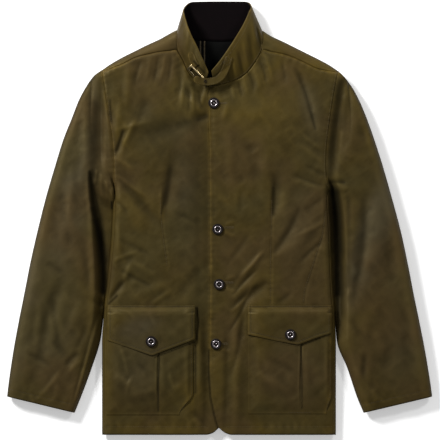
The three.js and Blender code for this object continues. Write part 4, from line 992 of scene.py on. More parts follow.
@dataclass
class Cloth:
    """A wall of cloth on a grid of outer points in mm, over u and v from 0 to 1.

    keep leaves cells out, ring closes the rows, flip turns the face over.
    """

    node: str
    surface: Surface
    us: Array
    vs: Array
    finish: Finish
    slot: Slot = Slot.WAX
    wall: float = WALL
    flip: bool = True
    ring: bool = False
    inset: float = 0.0
    keep: Optional[Surface] = None
    wear: Optional[Callable[..., Array]] = None
    thin: Optional[Surface] = None
    piece: Optional[Piece] = field(default=None, init=False)
    # Steps in the grid over which a ridge or trough is measured, and how strongly it shows as painted
    # highlight and painted shade.
    steps: tuple[int, ...] = (-5, -2, 2, 5)
    contrast: float = 0.75

    def skin(self, uu: Array, vv: Array) -> tuple[Array, Array]:
        """Work out the outer face.

        Args:
            uu, vv: u and v over the grid.
        Returns:
            Its points and normals.
        """
        points = self.surface(uu, vv)
        wide = np.concatenate([points[:, -2:-1], points, points[:, 1:2]], 1) if self.ring else points
        du = np.gradient(wide, axis=1)
        du = du[:, 1:-1] if self.ring else du
        normal = np.cross(du, np.gradient(points, axis=0))
        size = np.linalg.norm(normal, axis=-1, keepdims=True)
        normal = normal / np.maximum(size, 1e-12) * (-1.0 if self.flip else 1.0)
        return points - normal * self.inset, normal

    def cells(self) -> Array:
        """List the cells.

        Returns:
            Rows of four corner numbers.
        """
        nv, nu = len(self.vs), len(self.us)
        jj, ii = np.meshgrid(np.arange(nv - 1), np.arange(nu if self.ring else nu - 1), indexing="ij")
        here, after = jj * nu + ii, jj * nu + (ii + 1) % nu
        quads = np.stack([here, after, after + nu, here + nu], -1)
        quads = (quads if self.keep is None else quads[self.keep(ii, jj)]).reshape(-1, 4)
        return quads[:, ::-1] if self.flip else quads

    def relief(self, points: Array, normal: Array) -> Array:
        """Share from 0 in troughs to 1 on ridges, 0.5 where the cloth is even, that paints shade in troughs
        and highlight on ridges.

        Args:
            points: the outer grid.
            normal: its normals.
        Returns:
            The share at each point.
        """
        mean = np.zeros_like(points)
        for axis in (0, 1):
            for step in self.steps:
                rolled = np.roll(points, step, axis)
                edge = [slice(None)] * 3
                edge[axis] = slice(0, step) if step > 0 else slice(step, None)
                rolled[tuple(edge)] = points[tuple(edge)]
                mean += rolled / (2 * len(self.steps))
        bulge = np.einsum("ijk,ijk->ij", points - mean, normal)
        return 0.5 + 0.5 * np.tanh(bulge * self.contrast)

    def thicken(self, shares: Optional[Array]) -> None:
        """Add the wall under the outer face.

        Args:
            shares: share of the full wall at each vertex, None where it is even.
        """
        solid = self.piece.modifiers.new("wall", "SOLIDIFY")
        solid.thickness = self.wall * MM
        solid.offset = -1.0
        solid.use_even_offset = False
        if shares is not None:
            group = self.piece.vertex_groups.new(name="thin")
            for index, share in enumerate(shares):
                group.add([index], float(share), "REPLACE")
            solid.vertex_group = group.name

    def build(self) -> None:
        """Make the piece with its masks, wall and finish."""
        uu, vv = np.meshgrid(self.us, self.vs)
        points, normal = self.skin(uu, vv)
        used, flat = np.unique(self.cells(), return_inverse=True)
        quads = flat.reshape(-1, 4)
        verts = points.reshape(-1, 3)[used] * MM
        mesh = bpy.data.meshes.new(f"dress_{self.node}")
        mesh.from_pydata(verts.tolist(), [], quads.tolist())
        mesh.update()
        x, y = points[..., 0], points[..., 1]
        # Masks for the colour: crease paints highlight on ridges and shade in troughs, wear is worn wax with
        # painted highlight, tone is the wax's own tone with painted light, and the last is painted shade.
        masks = {"crease": self.relief(points, normal),
                 "wear": self.wear(uu, vv, points) if self.wear else BLOCK.wear(x, y),
                 "tone": BLOCK.tone(x, y), "painted_shade": BLOCK.painted_shade(x, y)}
        for label, values in masks.items():
            layer = mesh.attributes.new(label, "FLOAT", "POINT")
            layer.data.foreach_set("value", values.reshape(-1)[used].astype(np.float32))
        corners = np.stack([uu, vv], -1).reshape(-1, 2)[used][quads.reshape(-1)]
        uv = mesh.uv_layers.new(name="cloth")
        uv.data.foreach_set("uv", corners.reshape(-1).astype(np.float32))
        mesh.polygons.foreach_set("use_smooth", np.ones(len(mesh.polygons), bool))
        self.piece = new_object(mesh.name, mesh)
        self.thicken(None if self.thin is None else self.thin(uu, vv).reshape(-1)[used])
        enter(self.piece, self.finish, self.slot, self.node)
        LOG.info("%s: %d faces", mesh.name, len(quads))

    def ground(self) -> BVHTree:
        """Search tree of the outer face, for what is laid on it."""
        mesh = self.piece.data
        return BVHTree.FromPolygons([v.co[:] for v in mesh.vertices], [p.vertices[:] for p in mesh.polygons])


@dataclass(frozen=True)
class Side:
    """Column of a front's outer side over the rows: armhole, then side seam."""

    arm: Curve
    edge: Curve
    first: float
    sign: int

    def __call__(self, gy: Array) -> Array:
        """Read the side.

        Args:
            gy: rows.
        Returns:
            The column at each.
        """
        g = np.maximum(self.first, gy)
        inward = mix(SEAM / 2, SEAM_IN + SEAM / 2, smooth(ARM_END, SIDE_ROW, g))
        inside = self.edge(g) + self.sign * inward / GRID
        return np.where(g < ARM_END, self.arm(g) + self.sign * SEAM / 2 / GRID, inside)


@dataclass(frozen=True)
class Front:
    """A front between two side curves, which may lie lower by drop mm at its edge."""

    top: Curve
    hem: Curve
    start: Callable[[Array], Array]
    end: Callable[[Array], Array]
    drop: float = 0.0
    guess: float = 90.0
    rounds: int = 34
    tuck: float = 1.5

    def neck_edge(self, gx: Array) -> Array:
        """Row of the upper edge, drawn in under the collar."""
        return self.top(gx) - self.tuck * smooth(176, 181, gx) * smooth(264, 259, gx)

    def __call__(self, u: Array, v: Array) -> Array:
        """Work out the surface: the ends' rows and columns are found by rounds.

        Args:
            u, v: shares across and down.
        Returns:
            Its points in mm.
        """
        gy, low = np.full_like(u, self.guess), np.full_like(u, HEM)
        for _ in range(self.rounds):
            gy = mix(gy, self.neck_edge(mix(self.start(gy), self.end(gy), u)), 0.7)
            low = mix(low, self.hem(mix(self.start(low), self.end(low), u)), 0.7)
        gy = mix(gy, low, v)
        gx = mix(self.start(gy), self.end(gy), u)
        x, y = across(gx), along(gy)
        return np.stack([x, y, BLOCK.top(x, y) - self.drop * smooth(186, 205, gx)], -1)


@dataclass(frozen=True)
class Back:
    """The back over its shoulders and round its side edges."""

    # Rows above and below the split, and columns of the rim, the shoulder and the neck.
    rows: tuple[int, int] = (30, 110)
    columns: tuple[int, int, int] = (16, 14, 36)
    rim: float = 0.09

    def knots(self) -> tuple[Array, Array]:
        """Work out the grid.

        Returns:
            Its columns and its rows, from 0 to 1.
        """
        a, b = ((x - BODY_LEFT) / (BODY_RIGHT - BODY_LEFT) for x in (NECK_LEFT, NECK_RIGHT))
        side, shoulder, neck = self.columns
        us = graded((0, self.rim, side), (self.rim, a, shoulder), (a, b, neck),
                    (b, 1 - self.rim, shoulder), (1 - self.rim, 1, side))
        return us, graded((0, BACK_TOP, self.rows[0]), (BACK_TOP, 1, self.rows[1]))

    def keep(self, i: Array, j: Array) -> Array:
        """Which cells are cloth: all but the neck's opening."""
        first = self.columns[0] + self.columns[1]
        return ~((i > first) & (i < first + self.columns[2] - 1) & (j < self.rows[0]))

    @staticmethod
    def split(gx: Array) -> Array:
        """Work out where the shoulder's part ends.

        Args:
            gx: columns.
        Returns:
            Its row: the neck's edge, or some way below the ridge.
        """
        away = np.minimum(np.abs(gx - BODY_LEFT), np.abs(gx - BODY_RIGHT)) / (NECK_LEFT - BODY_LEFT)
        in_neck = (gx > NECK_LEFT + MM) & (gx < NECK_RIGHT - MM)
        return np.where(in_neck, BLOCK.neck_back(gx), BLOCK.shoulder(gx) + mix(12, 6.5, smooth(0, 1, away)))

    @staticmethod
    def placed(x: Array, y: Array, over: Array) -> Array:
        """Points on the fronts' face where over holds, and on the back's elsewhere."""
        return np.stack([x, y, np.where(over, BLOCK.top(x, y), BLOCK.under(x, y))], -1)

    def upper(self, u: Array, v: Array, low: Array) -> Array:
        """Work out the part that runs over the shoulder.

        Args:
            u, v: shares across and down.
            low: the row where it ends.
        Returns:
            Its points in mm.
        """
        y = low.copy()
        for _ in range(4):
            gx = mix(BLOCK.arm_left(y) + SEAM / 2 / GRID, BLOCK.arm_right(y) - SEAM / 2 / GRID, u)
            ridge = BLOCK.shoulder(gx)
            seam = np.where(gx < MID_X, BLOCK.top_left(gx), BLOCK.top_right(gx)) - SEAM / GRID
            start = -unfold(np.maximum(0.01, seam - ridge) * GRID * SHOULDER_COS)
            end = unfold((low - ridge) * GRID * SHOULDER_COS)
            arc = mix(start, end, np.clip(v / BACK_TOP, 0, 1))
            y = ridge + refold(np.abs(arc)) / GRID / SHOULDER_COS
        return self.placed(across(gx), along(y), arc < 0)

    def lower(self, u: Array, v: Array, low: Array) -> Array:
        """Work out the part that runs round the side edges.

        Args:
            u, v: shares across and down.
            low: the row where it starts.
        Returns:
            Its points in mm.
        """
        down = np.clip((v - BACK_TOP) / (1 - BACK_TOP), 0, 1)
        gy = mix(low, BLOCK.hem_back(mix(BODY_LEFT, HEM_EDGE, u)), down)
        left, right = BLOCK.left(gy), BLOCK.right(gy)
        whole = (right - left) * GRID - 2 * EDGE + 2 * ARC
        turn = mix(unfold(SEAM / 2), -unfold(SEAM_IN), smooth(ARM_END, SIDE_ROW, gy))
        ends = []
        for arm, edge, first, sign in ((BLOCK.arm_left, left, 70, 1), (BLOCK.arm_right, right, 71, -1)):
            inside = np.maximum(0, sign * (arm(np.maximum(first, gy)) - edge) * GRID + SEAM / 2)
            ends.append(np.where(gy < ARM_END, unfold(inside), turn))
        arc = mix(ends[0], whole - ends[1], u)
        from_right = arc > whole / 2
        own = np.where(from_right, whole - arc, arc)
        inside = refold(np.abs(own))
        x = np.where(from_right, across(right) - inside, across(left) + inside)
        return self.placed(x, along(gy), own < 0)

    def __call__(self, u: Array, v: Array) -> Array:
        """Points of the surface in mm, over shares across and down."""
        low = self.split(BODY_LEFT + (BODY_RIGHT - BODY_LEFT) * u)
        return np.where((v < BACK_TOP)[..., None], self.upper(u, v, low), self.lower(u, v, low))


@dataclass(frozen=True)
class Sleeve:
    """A sleeve of rings that fan round the armpit."""

    table: Sequence[tuple]
    arm: Curve
    first: float
    sign: int
    turned: float = 0.14

    def __call__(self, u: Array, v: Array) -> Array:
        """Work out the surface.

        Args:
            u: share round the ring, the upper half first.
            v: share down the sleeve.
        Returns:
            Its points in mm.
        """
        last = len(self.table) - 1
        ox, oy, ix, iy, high, fall, low = (
            Curve([(n, row[k]) for n, row in enumerate(self.table)])(v * last) for k in range(7))
        under = u > 0.5
        w = np.where(under, 2 - 2 * u, 2 * u)
        ix = ix + self.sign * 2.1 * smooth(0.04, 0.22, v) * smooth(0.76, 0.62, v)
        ax, ay, bx, by = across(ox), along(oy), across(ix), along(iy)
        size = np.hypot(bx - ax, by - ay)
        inner = np.minimum(EDGE, low * 0.6)
        outer_turn, inner_turn = (np.clip(k / self.turned, 0, 1) * math.pi / 2 for k in (w, 1 - w))
        c = mix(EDGE, size - inner, (w - self.turned) / (1 - 2 * self.turned))
        c = np.where(w < self.turned, EDGE * (1 - np.cos(outer_turn)), c)
        c = np.where(w > 1 - self.turned, size - inner * (1 - np.cos(inner_turn)), c)
        g = np.sin(outer_turn) * np.sin(inner_turn)
        part = c / size
        near = 1 - smooth(0, CAP_PART, v)
        chord = mix(self.table[0][0], self.table[0][2], part)
        shift = self.arm(mix(self.first, ARM_END, part)) - chord
        x = mix(ax, bx, part) + shift * GRID * near - self.sign * SEAM / 2 * near
        y = mix(ay, by, part)
        tall = mix(high, low, smooth(0, 1, (part - fall + 0.1) / 0.12))
        own = np.where(under, tall * (1 - g) / 2, tall * (1 + g) / 2 + BLOCK.folds(x, y) * g * g)
        beside = x + self.sign * SEAM / 2
        body = np.where(under, BLOCK.under(beside, y), BLOCK.top(beside, y))
        return np.stack([x, y, mix(own, body, near ** 3)], -1)


class CollarBand:
    """The standing collar band, from its base at v = 0 to its free edge."""

    # Stitch rows at these shares of its height.
    stitched = (0.06, 0.86)

    def __init__(self) -> None:
        """Run curves through the ribs."""
        ribs = [self.rib(*row) for row in COLLAR]
        self.curves = [Curve(list(enumerate(knots))) for knots in zip(*ribs)]
        self.last = len(ribs) - 1

    @staticmethod
    def rib(gx: float, gy: float, over: int, tx: float, ty: float, tz: float, bow: float) -> tuple:
        """Stand one rib on the body.

        Args:
            gx: its base's column.
            gy: its base's row.
            over: 1 on the fronts, 0 at the side of the neck, -1 on the floor.
            tx: its tip's column.
            ty: its tip's row.
            tz: its tip's height in mm.
            bow: how far it bows out.
        Returns:
            Base, tip and bow in mm.
        """
        x, y = across(gx), along(gy)
        full = BLOCK.high(gy) * 0.5
        z = full * (1 + BLOCK.edge_share(x, y)) if over > 0 else full * (over == 0)
        return x, y, float(z), across(tx), along(ty), tz, float(bow)

    def __call__(self, u: Array, v: Array) -> Array:
        """Work out the surface.

        Args:
            u, v: shares along and up the band.
        Returns:
            Its points in mm.
        """
        bx, by, bz, tx, ty, tz, bow = (curve(u * self.last) for curve in self.curves)
        lift = bow * 4 * v * (1 - v) * np.minimum(1, bz / 14)
        point = np.stack([mix(bx, tx, v), mix(by, ty, v), mix(bz, tz, v) + lift], -1)
        wave = 0.5 * np.sin(u * 57 + 3 * v) * v * (1 - v) * 2 + 0.35 * np.sin(u * 131 + 5 * v) * (1 - v)
        folds = sum(fold.height(point[..., 0], point[..., 1]) for fold in COLLAR_FOLDS)
        wave = wave + folds * (by > across(0))
        point[..., 2] += wave * np.clip((bz - 12) / 12, 0, 1) * smooth(0.0, 0.05, v)
        return point

    def wear(self, u: Array, v: Array, points: Array) -> Array:
        """Share of worn wax with painted highlight on the free edge and the base seam."""
        return np.maximum(bell(1 - v, 0.12), 0.6 * bell(v, 0.1))


def neck_lining(u: Array, v: Array) -> Array:
    """Work out the surface of the lining that shows in the neck.

    Args:
        u: share across.
        v: share down.
    Returns:
        Its points in mm.
    """
    gx = mix(178.0, 261.5, u)
    gy = mix(BLOCK.neck_back(gx) - 2.2, 112.0, v)
    x, y = across(gx), along(gy)
    wave = 0.5 * np.sin(gx / 6.0 + gy / 17.0) * smooth(0, 0.1, v)
    rise = mix(1.4, BLOCK.under(x, y) + WALL + LINING + 1.0, smooth(0, 0.06, v))
    return np.stack([x, y, np.maximum(rise, 2.6 - 20 * v) + wave], -1)


class Ground:
    """Heights of the highest outer face under a point, for what is laid there."""

    steepest = 0.45

    def __init__(self, cloths: Sequence[Cloth]) -> None:
        """Take the pieces that carry it."""
        self.trees = [cloth.ground() for cloth in cloths]

    def at(self, x: float, y: float) -> float:
        """Height in mm at one point in mm, 0 where nothing lies."""
        hits = [tree.ray_cast(Vector((x * MM, y * MM, 1.0)), Vector((0, 0, -1)))[0] for tree in self.trees]
        return max([0.0] + [hit.z / MM for hit in hits if hit is not None])

    def __call__(self, x: Array, y: Array) -> Array:
        """Heights in mm over arrays of points."""
        flat = [self.at(a, b) for a, b in zip(np.ravel(x), np.ravel(y))]
        return np.array(flat).reshape(np.shape(x))

    def slope(self, x: float, y: float, reach: float) -> Vector:
        """Find the ground's upward normal over a patch.

        Args:
            x, y: mm across and along.
            reach: half the patch in mm.
        Returns:
            The normal.
        """
        dx = (self.at(x + reach, y) - self.at(x - reach, y)) / (2 * reach)
        dy = (self.at(x, y + reach) - self.at(x, y - reach)) / (2 * reach)
        dx, dy = (max(-self.steepest, min(self.steepest, d)) for d in (dx, dy))
        return Vector((-dx, -dy, 1)).normalized()


@dataclass(frozen=True)
class Bag:
    """A patch pocket's bag, in grid squares, with a pleat down its middle."""

    x0: float
    x1: float
    y1: float
    cut: float
    pleat: float
    folds: tuple[Crease, ...]
    y0: float = 313.0
    puff: float = 3.2
    corner: float = 21.0

    def loft(self, gx: Array, gy: Array) -> Array:
        """Work out how far the bag stands off the front.

        Args:
            gx, gy: columns and rows.
        Returns:
            The height in mm.
        """
        side = (smooth(-0.5, 12, gx - self.x0) * smooth(0, 6, self.x1 - gx)
                * smooth(0, 34, self.y1 - gy))
        off = gx - (self.pleat - 0.9 * np.sin((gy - 350) / 26.0))
        open_part = smooth(325, 345, gy)
        groove = bell(off, 0.85) * open_part
        lap = 0.7 * smooth(3.5, 0.4, -off) * (off < 0) * open_part
        total = sum(fold.height(across(gx), along(gy)) for fold in self.folds)
        return self.puff * side + (total - 1.9 * groove + lap) * side

    def surface(self, ground: Ground, u: Array, v: Array) -> Array:
        """Lay the bag on the ground.

        Args:
            ground: what it lies on.
            u, v: shares across and down.
        Returns:
            Its points in mm.
        """
        gy = mix(self.y0, self.y1, v)
        cut = self.cut * smooth(self.y1 - self.corner, self.y1, gy) ** 0.8
        gx = mix(self.x0, self.x1 - cut, u)
        x, y = across(gx), along(gy)
        return np.stack([x, y, ground(x, y) + (WALL + 0.3) * self.thin(u, v) + self.loft(gx, gy)], -1)

    def thin(self, u: Array, v: Array) -> Array:
        """Share of the full wall: pared where the bag runs into the side and the hem."""
        return np.clip(np.minimum(smooth(0, 0.14, u), smooth(0, 0.12, 1 - v)), 0.12, 1.0)

    def wear(self, u: Array, v: Array, points: Array) -> Array:
        """Work out the share of worn wax with painted highlight along the edges and the pleat.

        Args:
            u, v: shares across and down.
            points: the points in mm.
        Returns:
            The share at each.
        """
        width = self.x1 - self.x0
        bright = bell((1 - u) * width, 3.0)
        faint = 0.1 * bell(np.minimum(u * width, (1 - v) * (self.y1 - self.y0)), 2.4)
        gx = on_grid(points[..., 0], points[..., 1])[0]
        pleat = 0.25 * bell(gx - self.pleat - 1.6, 1.3) * (v > 0.25)
        return np.maximum(np.maximum(bright, faint), pleat)


@dataclass(frozen=True)
class Flap:
    """A pointed pocket flap, in grid squares."""

    x0: float
    x1: float
    low: tuple[Point, ...]
    folds: tuple[Crease, ...]
    lift: float = 0.0
    close: float = 0.5
    top: float = 305.2
    tall: float = 42.0
    # Steps in mm to where else the flap must clear what lies under it.
    feel: tuple[Point, ...] = ((0, 0), (4, 0), (-4, 0), (0, -5), (0, -10), (0, 3))

    def edge(self, gx: Array) -> Array:
        """Row of the lower edge, its point slightly rounded."""
        xs, ys = zip(*self.low)
        return sum(np.interp(gx + step, xs, ys) for step in (-1.2, 0.0, 1.2)) / 3

    def surface(self, ground: Ground, over: Ground, u: Array, v: Array) -> Array:
        """Lay the flap over the bag.

        Args:
            ground: what its seam lies on.
            over: what it has to clear.
            u, v: shares across and down.
        Returns:
            Its points in mm.
        """
        gx = mix(self.x0, self.x1, u)
        gy = mix(self.top, self.edge(gx), v)
        x, y = across(gx), along(gy)
        base = ground(x, y)
        most = np.max([over(x + dx, y + dy) for dx, dy in self.feel], axis=0) - base
        lift = np.maximum(0, most) * smooth(305.5, 312, gy) + self.lift * smooth(0.86, 1.0, u)
        total = sum(fold.height(x, y) for fold in self.folds) * smooth(0.0, 0.25, v)
        rim = np.minimum(np.minimum(u, 1 - u) * (self.x1 - self.x0), (1 - v) * (gy - self.top + 9))
        roll = -0.8 * bell(rim, 1.1) - 0.35 * bell(rim - 3.4, 0.9)
        sewn = -0.3 * bell(gy - self.top - 1.4, 0.9)
        share = self.thin(u, v)
        return np.stack([x, y, base + lift + 0.3 + (WALL + 1.0 + roll) * share + total + sewn], -1)

    def thin(self, u: Array, v: Array) -> Array:
        """Share of the full wall: pared where the outer corner lies close to the bag."""
        outer = smooth(0.48, 0.1, u) if self.x0 < MID_X else smooth(0.0, 0.3, u) * smooth(0.62, 0.3, u)
        return 1 - self.close * outer * smooth(0.55, 1.0, v)

    def wear(self, u: Array, v: Array, points: Array) -> Array:
        """Share of worn wax with painted highlight along the flap's edges and its top seam."""
        near = np.minimum(np.minimum(u, 1 - u) * (self.x1 - self.x0), (1 - v) * self.tall)
        return np.maximum(0.5 * bell(v * self.tall, 2.6), 0.4 * bell(near, 2.0))


@dataclass(frozen=True)
class Band:
    """A narrow sewn band along a centre line in grid squares, at least floor mm high.

    swell gives place, reach and height in mm of a rise along it.
    """

    line: tuple[Point, ...]
    half: float
    floor: float
    round_start: float = 0.0
    round_end: float = 0.0
    swell: tuple[float, float, float] = (2.0, 0.1, 0.0)

    def centre(self, n: Array) -> tuple[Array, Array]:
        """Centre line's column and row at a knot position."""
        cx, cy = (Curve([(i, p[k]) for i, p in enumerate(self.line)]) for k in (0, 1))
        return cx(n), cy(n)

    def surface(self, ground: Ground, u: Array, v: Array) -> Array:
        """Lay the band on the ground.

        Args:
            ground: what it lies on.
            u, v: shares across and along.
        Returns:
            Its points in mm.
        """
        last = len(self.line) - 1
        n = v * last
        ax, ay = self.centre(np.maximum(0, n - 0.05))
        bx, by = self.centre(np.minimum(last, n + 0.05))
        cx, cy = self.centre(n)
        dx, dy = (bx - ax) * GRID, -(by - ay) * GRID
        size = np.hypot(dx, dy)
        tip = np.ones_like(u)
        for share, at in ((self.round_start, v), (self.round_end, 1 - v)):
            if share > 0:
                tip = tip * np.sqrt(np.clip(1 - (1 - np.clip(at / share, 0, 1)) ** 2, 0.02, 1))
        off = (u - 0.5) * 2 * self.half * GRID * tip
        x, y = across(cx) + off * -dy / size, along(cy) + off * dx / size
        place, reach, up = self.swell
        z = np.maximum(self.floor, ground(x, y) + 0.5 + WALL) + up * bell(v - place, reach)
        for _ in range(3):
            z[1:-1] = (z[:-2] + 2 * z[1:-1] + z[2:]) / 4
        return np.stack([x, y, z + 0.3 - 0.55 * bell(1 - np.abs(u - 0.5) * 2, 0.16)], -1)

    def wear(self, u: Array, v: Array, points: Array) -> Array:
        """Share of worn wax with painted highlight along both edges."""
        return 0.9 * bell(1 - np.abs(u - 0.5) * 2, 0.3) + 0.2


@dataclass
class Sewing:
    """Rows of stitches in mm, each a short swell of thread, gathered in one object."""

    node: str
    finish: Finish
    ground: Ground
    pitch: float = 3.4
    long: float = 2.5
    thick: float = 0.62
    sides: int = 5
    drop: float = 3.5
    hole_pitch: float = 0.85
    verts: list[tuple[float, float, float]] = field(default_factory=list)
    faces: list[tuple[int, ...]] = field(default_factory=list)

    def stitch(self, a: Point, b: Point) -> None:
        """Add a stitch, unless it would hang in the air.

        Args:
            a: its start in mm.
            b: its end in mm.
        """
        za, zb = self.ground.at(*a), self.ground.at(*b)
        if za <= 0 or zb <= 0 or abs(za - zb) > self.drop:
            return
        start, end = Vector((*a, za)), Vector((*b, zb))
        run = end - start
        side = Vector((-run.y, run.x, 0)).normalized() * self.thick / 2
        up = Vector((0, 0, self.thick / 2))
        first, count = len(self.verts), self.sides
        self.verts.append(tuple((start - up * 0.6) * MM))
        for t in (0.22, 0.78):
            mid = start + run * t + Vector((0, 0, 0.18))
            for k in range(count):
                turn = k / count * 2 * math.pi
                self.verts.append(tuple((mid + side * math.cos(turn) + up * math.sin(turn)) * MM))
        self.verts.append(tuple((end - up * 0.6) * MM))
        near, far, last = first + 1, first + 1 + count, first + 1 + 2 * count
        for k in range(count):
            m = (k + 1) % count
            self.faces.append((first, near + m, near + k))
            self.faces.append((near + k, near + m, far + m, far + k))
            self.faces.append((last, far + k, far + m))

    def run(self, points: Line, shift: float = 0.0) -> None:
        """Add a row of stitches.

        Args:
            points: its line in grid squares.
            shift: how far it is moved to the left of its run, in grid squares.
        """
        px, py = across([p[0] for p in points]), along([p[1] for p in points])
        arc = np.append(0, np.cumsum(np.hypot(np.diff(px), np.diff(py))))
        for k in range(int(arc[-1] / self.pitch)):
            s = np.array([0.0, self.long]) + (k + 0.15) * self.pitch
            x, y = np.interp(s, arc, px), np.interp(s, arc, py)
            dx, dy = x[1] - x[0], y[1] - y[0]
            size = max(1e-6, math.hypot(dx, dy))
            ox, oy = -dy / size * shift * GRID, dx / size * shift * GRID
            self.stitch((x[0] + ox, y[0] + oy), (x[1] + ox, y[1] + oy))

    def hole(self, gx: float, gy: float, half: float) -> None:
        """Work a buttonhole: two rows of cross stitches round a slit.

        Args:
            gx: its column.
            gy: its row.
            half: half its length in grid squares.
        """
        x0, x1, y = across(gx - half), across(gx + half), along(gy)
        for k in range(int((x1 - x0) / self.hole_pitch)):
            x = float(x0 + (k + 0.5) * self.hole_pitch)
            for sign in (-1, 1):
                self.stitch((x, float(y + sign * 0.35)), (x, float(y + sign * 1.9)))

    def build(self) -> None:
        """Make the piece."""
        mesh = bpy.data.meshes.new(f"thread_{self.node}")
        mesh.from_pydata(self.verts, [], self.faces)
        mesh.polygons.foreach_set("use_smooth", np.ones(len(mesh.polygons), bool))
        enter(new_object(mesh.name, mesh), self.finish, Slot.WAX)
        LOG.info("%s: %d faces", mesh.name, len(self.faces))


def start_clean() -> None:
    """Leave object mode ready with nothing selected."""
    if bpy.context.object is not None and bpy.context.object.mode != "OBJECT":
        bpy.ops.object.mode_set(mode="OBJECT")
    bpy.ops.object.select_all(action="DESELECT")


def pick_faces(piece: Piece, both: bool) -> None:
    """Select the level faces and go to edit mode.

    Args:
        piece: the active piece.
        both: whether those that look down count too.
    """
    bpy.ops.object.mode_set(mode="EDIT")
    bpy.ops.mesh.select_mode(type="FACE")
    bpy.ops.mesh.select_all(action="DESELECT")
    bpy.ops.object.mode_set(mode="OBJECT")
    for face in piece.data.polygons:
        face.select = (abs(face.normal.z) if both else face.normal.z) > 0.9
    bpy.ops.object.mode_set(mode="EDIT")


def soften(piece: Piece, width: float, segments: int, angle: float) -> None:
    """Round a piece's edges.

    Args:
        piece: the active piece.
        width: width of the rounding in metres.
        segments: its steps.
        angle: the least turn of an edge that is rounded, in degrees.
    """
    bpy.ops.object.mode_set(mode="OBJECT")
    bevel = piece.modifiers.new("round", "BEVEL")
    bevel.width, bevel.segments = width, segments
    bevel.limit_method, bevel.angle_limit = "ANGLE", math.radians(angle)
    bpy.ops.object.modifier_apply(modifier=bevel.name)
    bpy.ops.object.shade_smooth()


def torus(name: str, major: float, minor: float, around: int, through: int) -> Piece:
    """Make a ring.

    Args:
        name: its name.
        major: its radius in metres.
        minor: the wire's radius in metres.
        around: segments round the ring.
        through: segments round the wire.
    Returns:
        The ring.
    """
    start_clean()
    bpy.ops.mesh.primitive_torus_add(major_radius=major, minor_radius=minor,
                                     major_segments=around, minor_segments=through)
    made = bpy.context.object
    made.name = name
    bpy.ops.object.shade_smooth()
    return made


def settle(piece: Piece, place: Vector, up: Vector, spin: float = 0.0) -> None:
    """Turn a piece onto its ground, move it there and apply it.

    Args:
        piece: the piece.
        place: where it goes, in metres.
        up: the ground's normal.
        spin: turn about its own axis.
    """
    start_clean()
    piece.select_set(True)
    bpy.context.view_layer.objects.active = piece
    turn = Vector((0, 0, 1)).rotation_difference(up).to_matrix().to_4x4()
    piece.matrix_world = Matrix.Translation(place) @ turn @ Matrix.Rotation(spin, 4, "Z")
    bpy.context.view_layer.update()
    bpy.ops.object.transform_apply(location=True, rotation=True, scale=True)


def seat(ground: Ground, at: Point, lift: float, reach: float) -> tuple[Vector, Vector]:
    """Place in metres, lift mm above the ground, and the ground's normal there."""
    x, y = float(across(at[0])), float(along(at[1]))
    return Vector((x * MM, y * MM, (ground.at(x, y) + lift) * MM)), ground.slope(x, y, reach)


@dataclass(frozen=True)
class Button:
    """A dark rimmed button with a pale ring and stud, sizes in metres."""

    node: str
    at: Point
    radius: float = 0.0106
    high: float = 0.0030
    ring: float = 0.0058
    wire: float = 0.0012
    stud: float = 0.0010
    # Insets and lifts of its face, as shares of the radius and the height.
    steps: tuple[Point, ...] = ((0.18, 0.16), (0.12, -0.30), (0.34, -0.14))

    def disc(self) -> Piece:
        """Make the rimmed, dished disc.

        Returns:
            The disc.
        """
        start_clean()
        bpy.ops.mesh.primitive_cylinder_add(vertices=48, radius=self.radius, depth=self.high)
        made = bpy.context.object
        made.name = f"dress_{self.node}"
        pick_faces(made, both=False)
        for inset, lift in self.steps:
            bpy.ops.mesh.inset(thickness=self.radius * inset)
            bpy.ops.transform.translate(value=(0, 0, self.high * lift))
        soften(made, self.high * 0.16, 3, 25)
        return made

    def build(self, ground: Ground, wear: Wardrobe) -> None:
        """Make the three pieces and settle them.

        Args:
            ground: what the button lies on.
            wear: the finishes.
        """
        base, up = seat(ground, self.at, 0.5, 8.0)
        disc = self.disc()
        ring = torus(f"ring_{self.node}", self.ring, self.wire, 48, 12)
        start_clean()
        bpy.ops.mesh.primitive_uv_sphere_add(segments=20, ring_count=10, radius=self.stud)
        stud = bpy.context.object
        stud.name = f"stud_{self.node}"
        bpy.ops.object.shade_smooth()
        for piece, finish, lift, nodes in ((disc, wear.horn, 0.5, (self.node,)),
                                           (ring, wear.nickel, 0.93, ()), (stud, wear.nickel, 0.76, ())):
            settle(piece, base + up * self.high * lift, up)
            enter(piece, finish, Slot.HORN, *nodes)
        LOG.info("%s: disc, ring and stud", self.node)


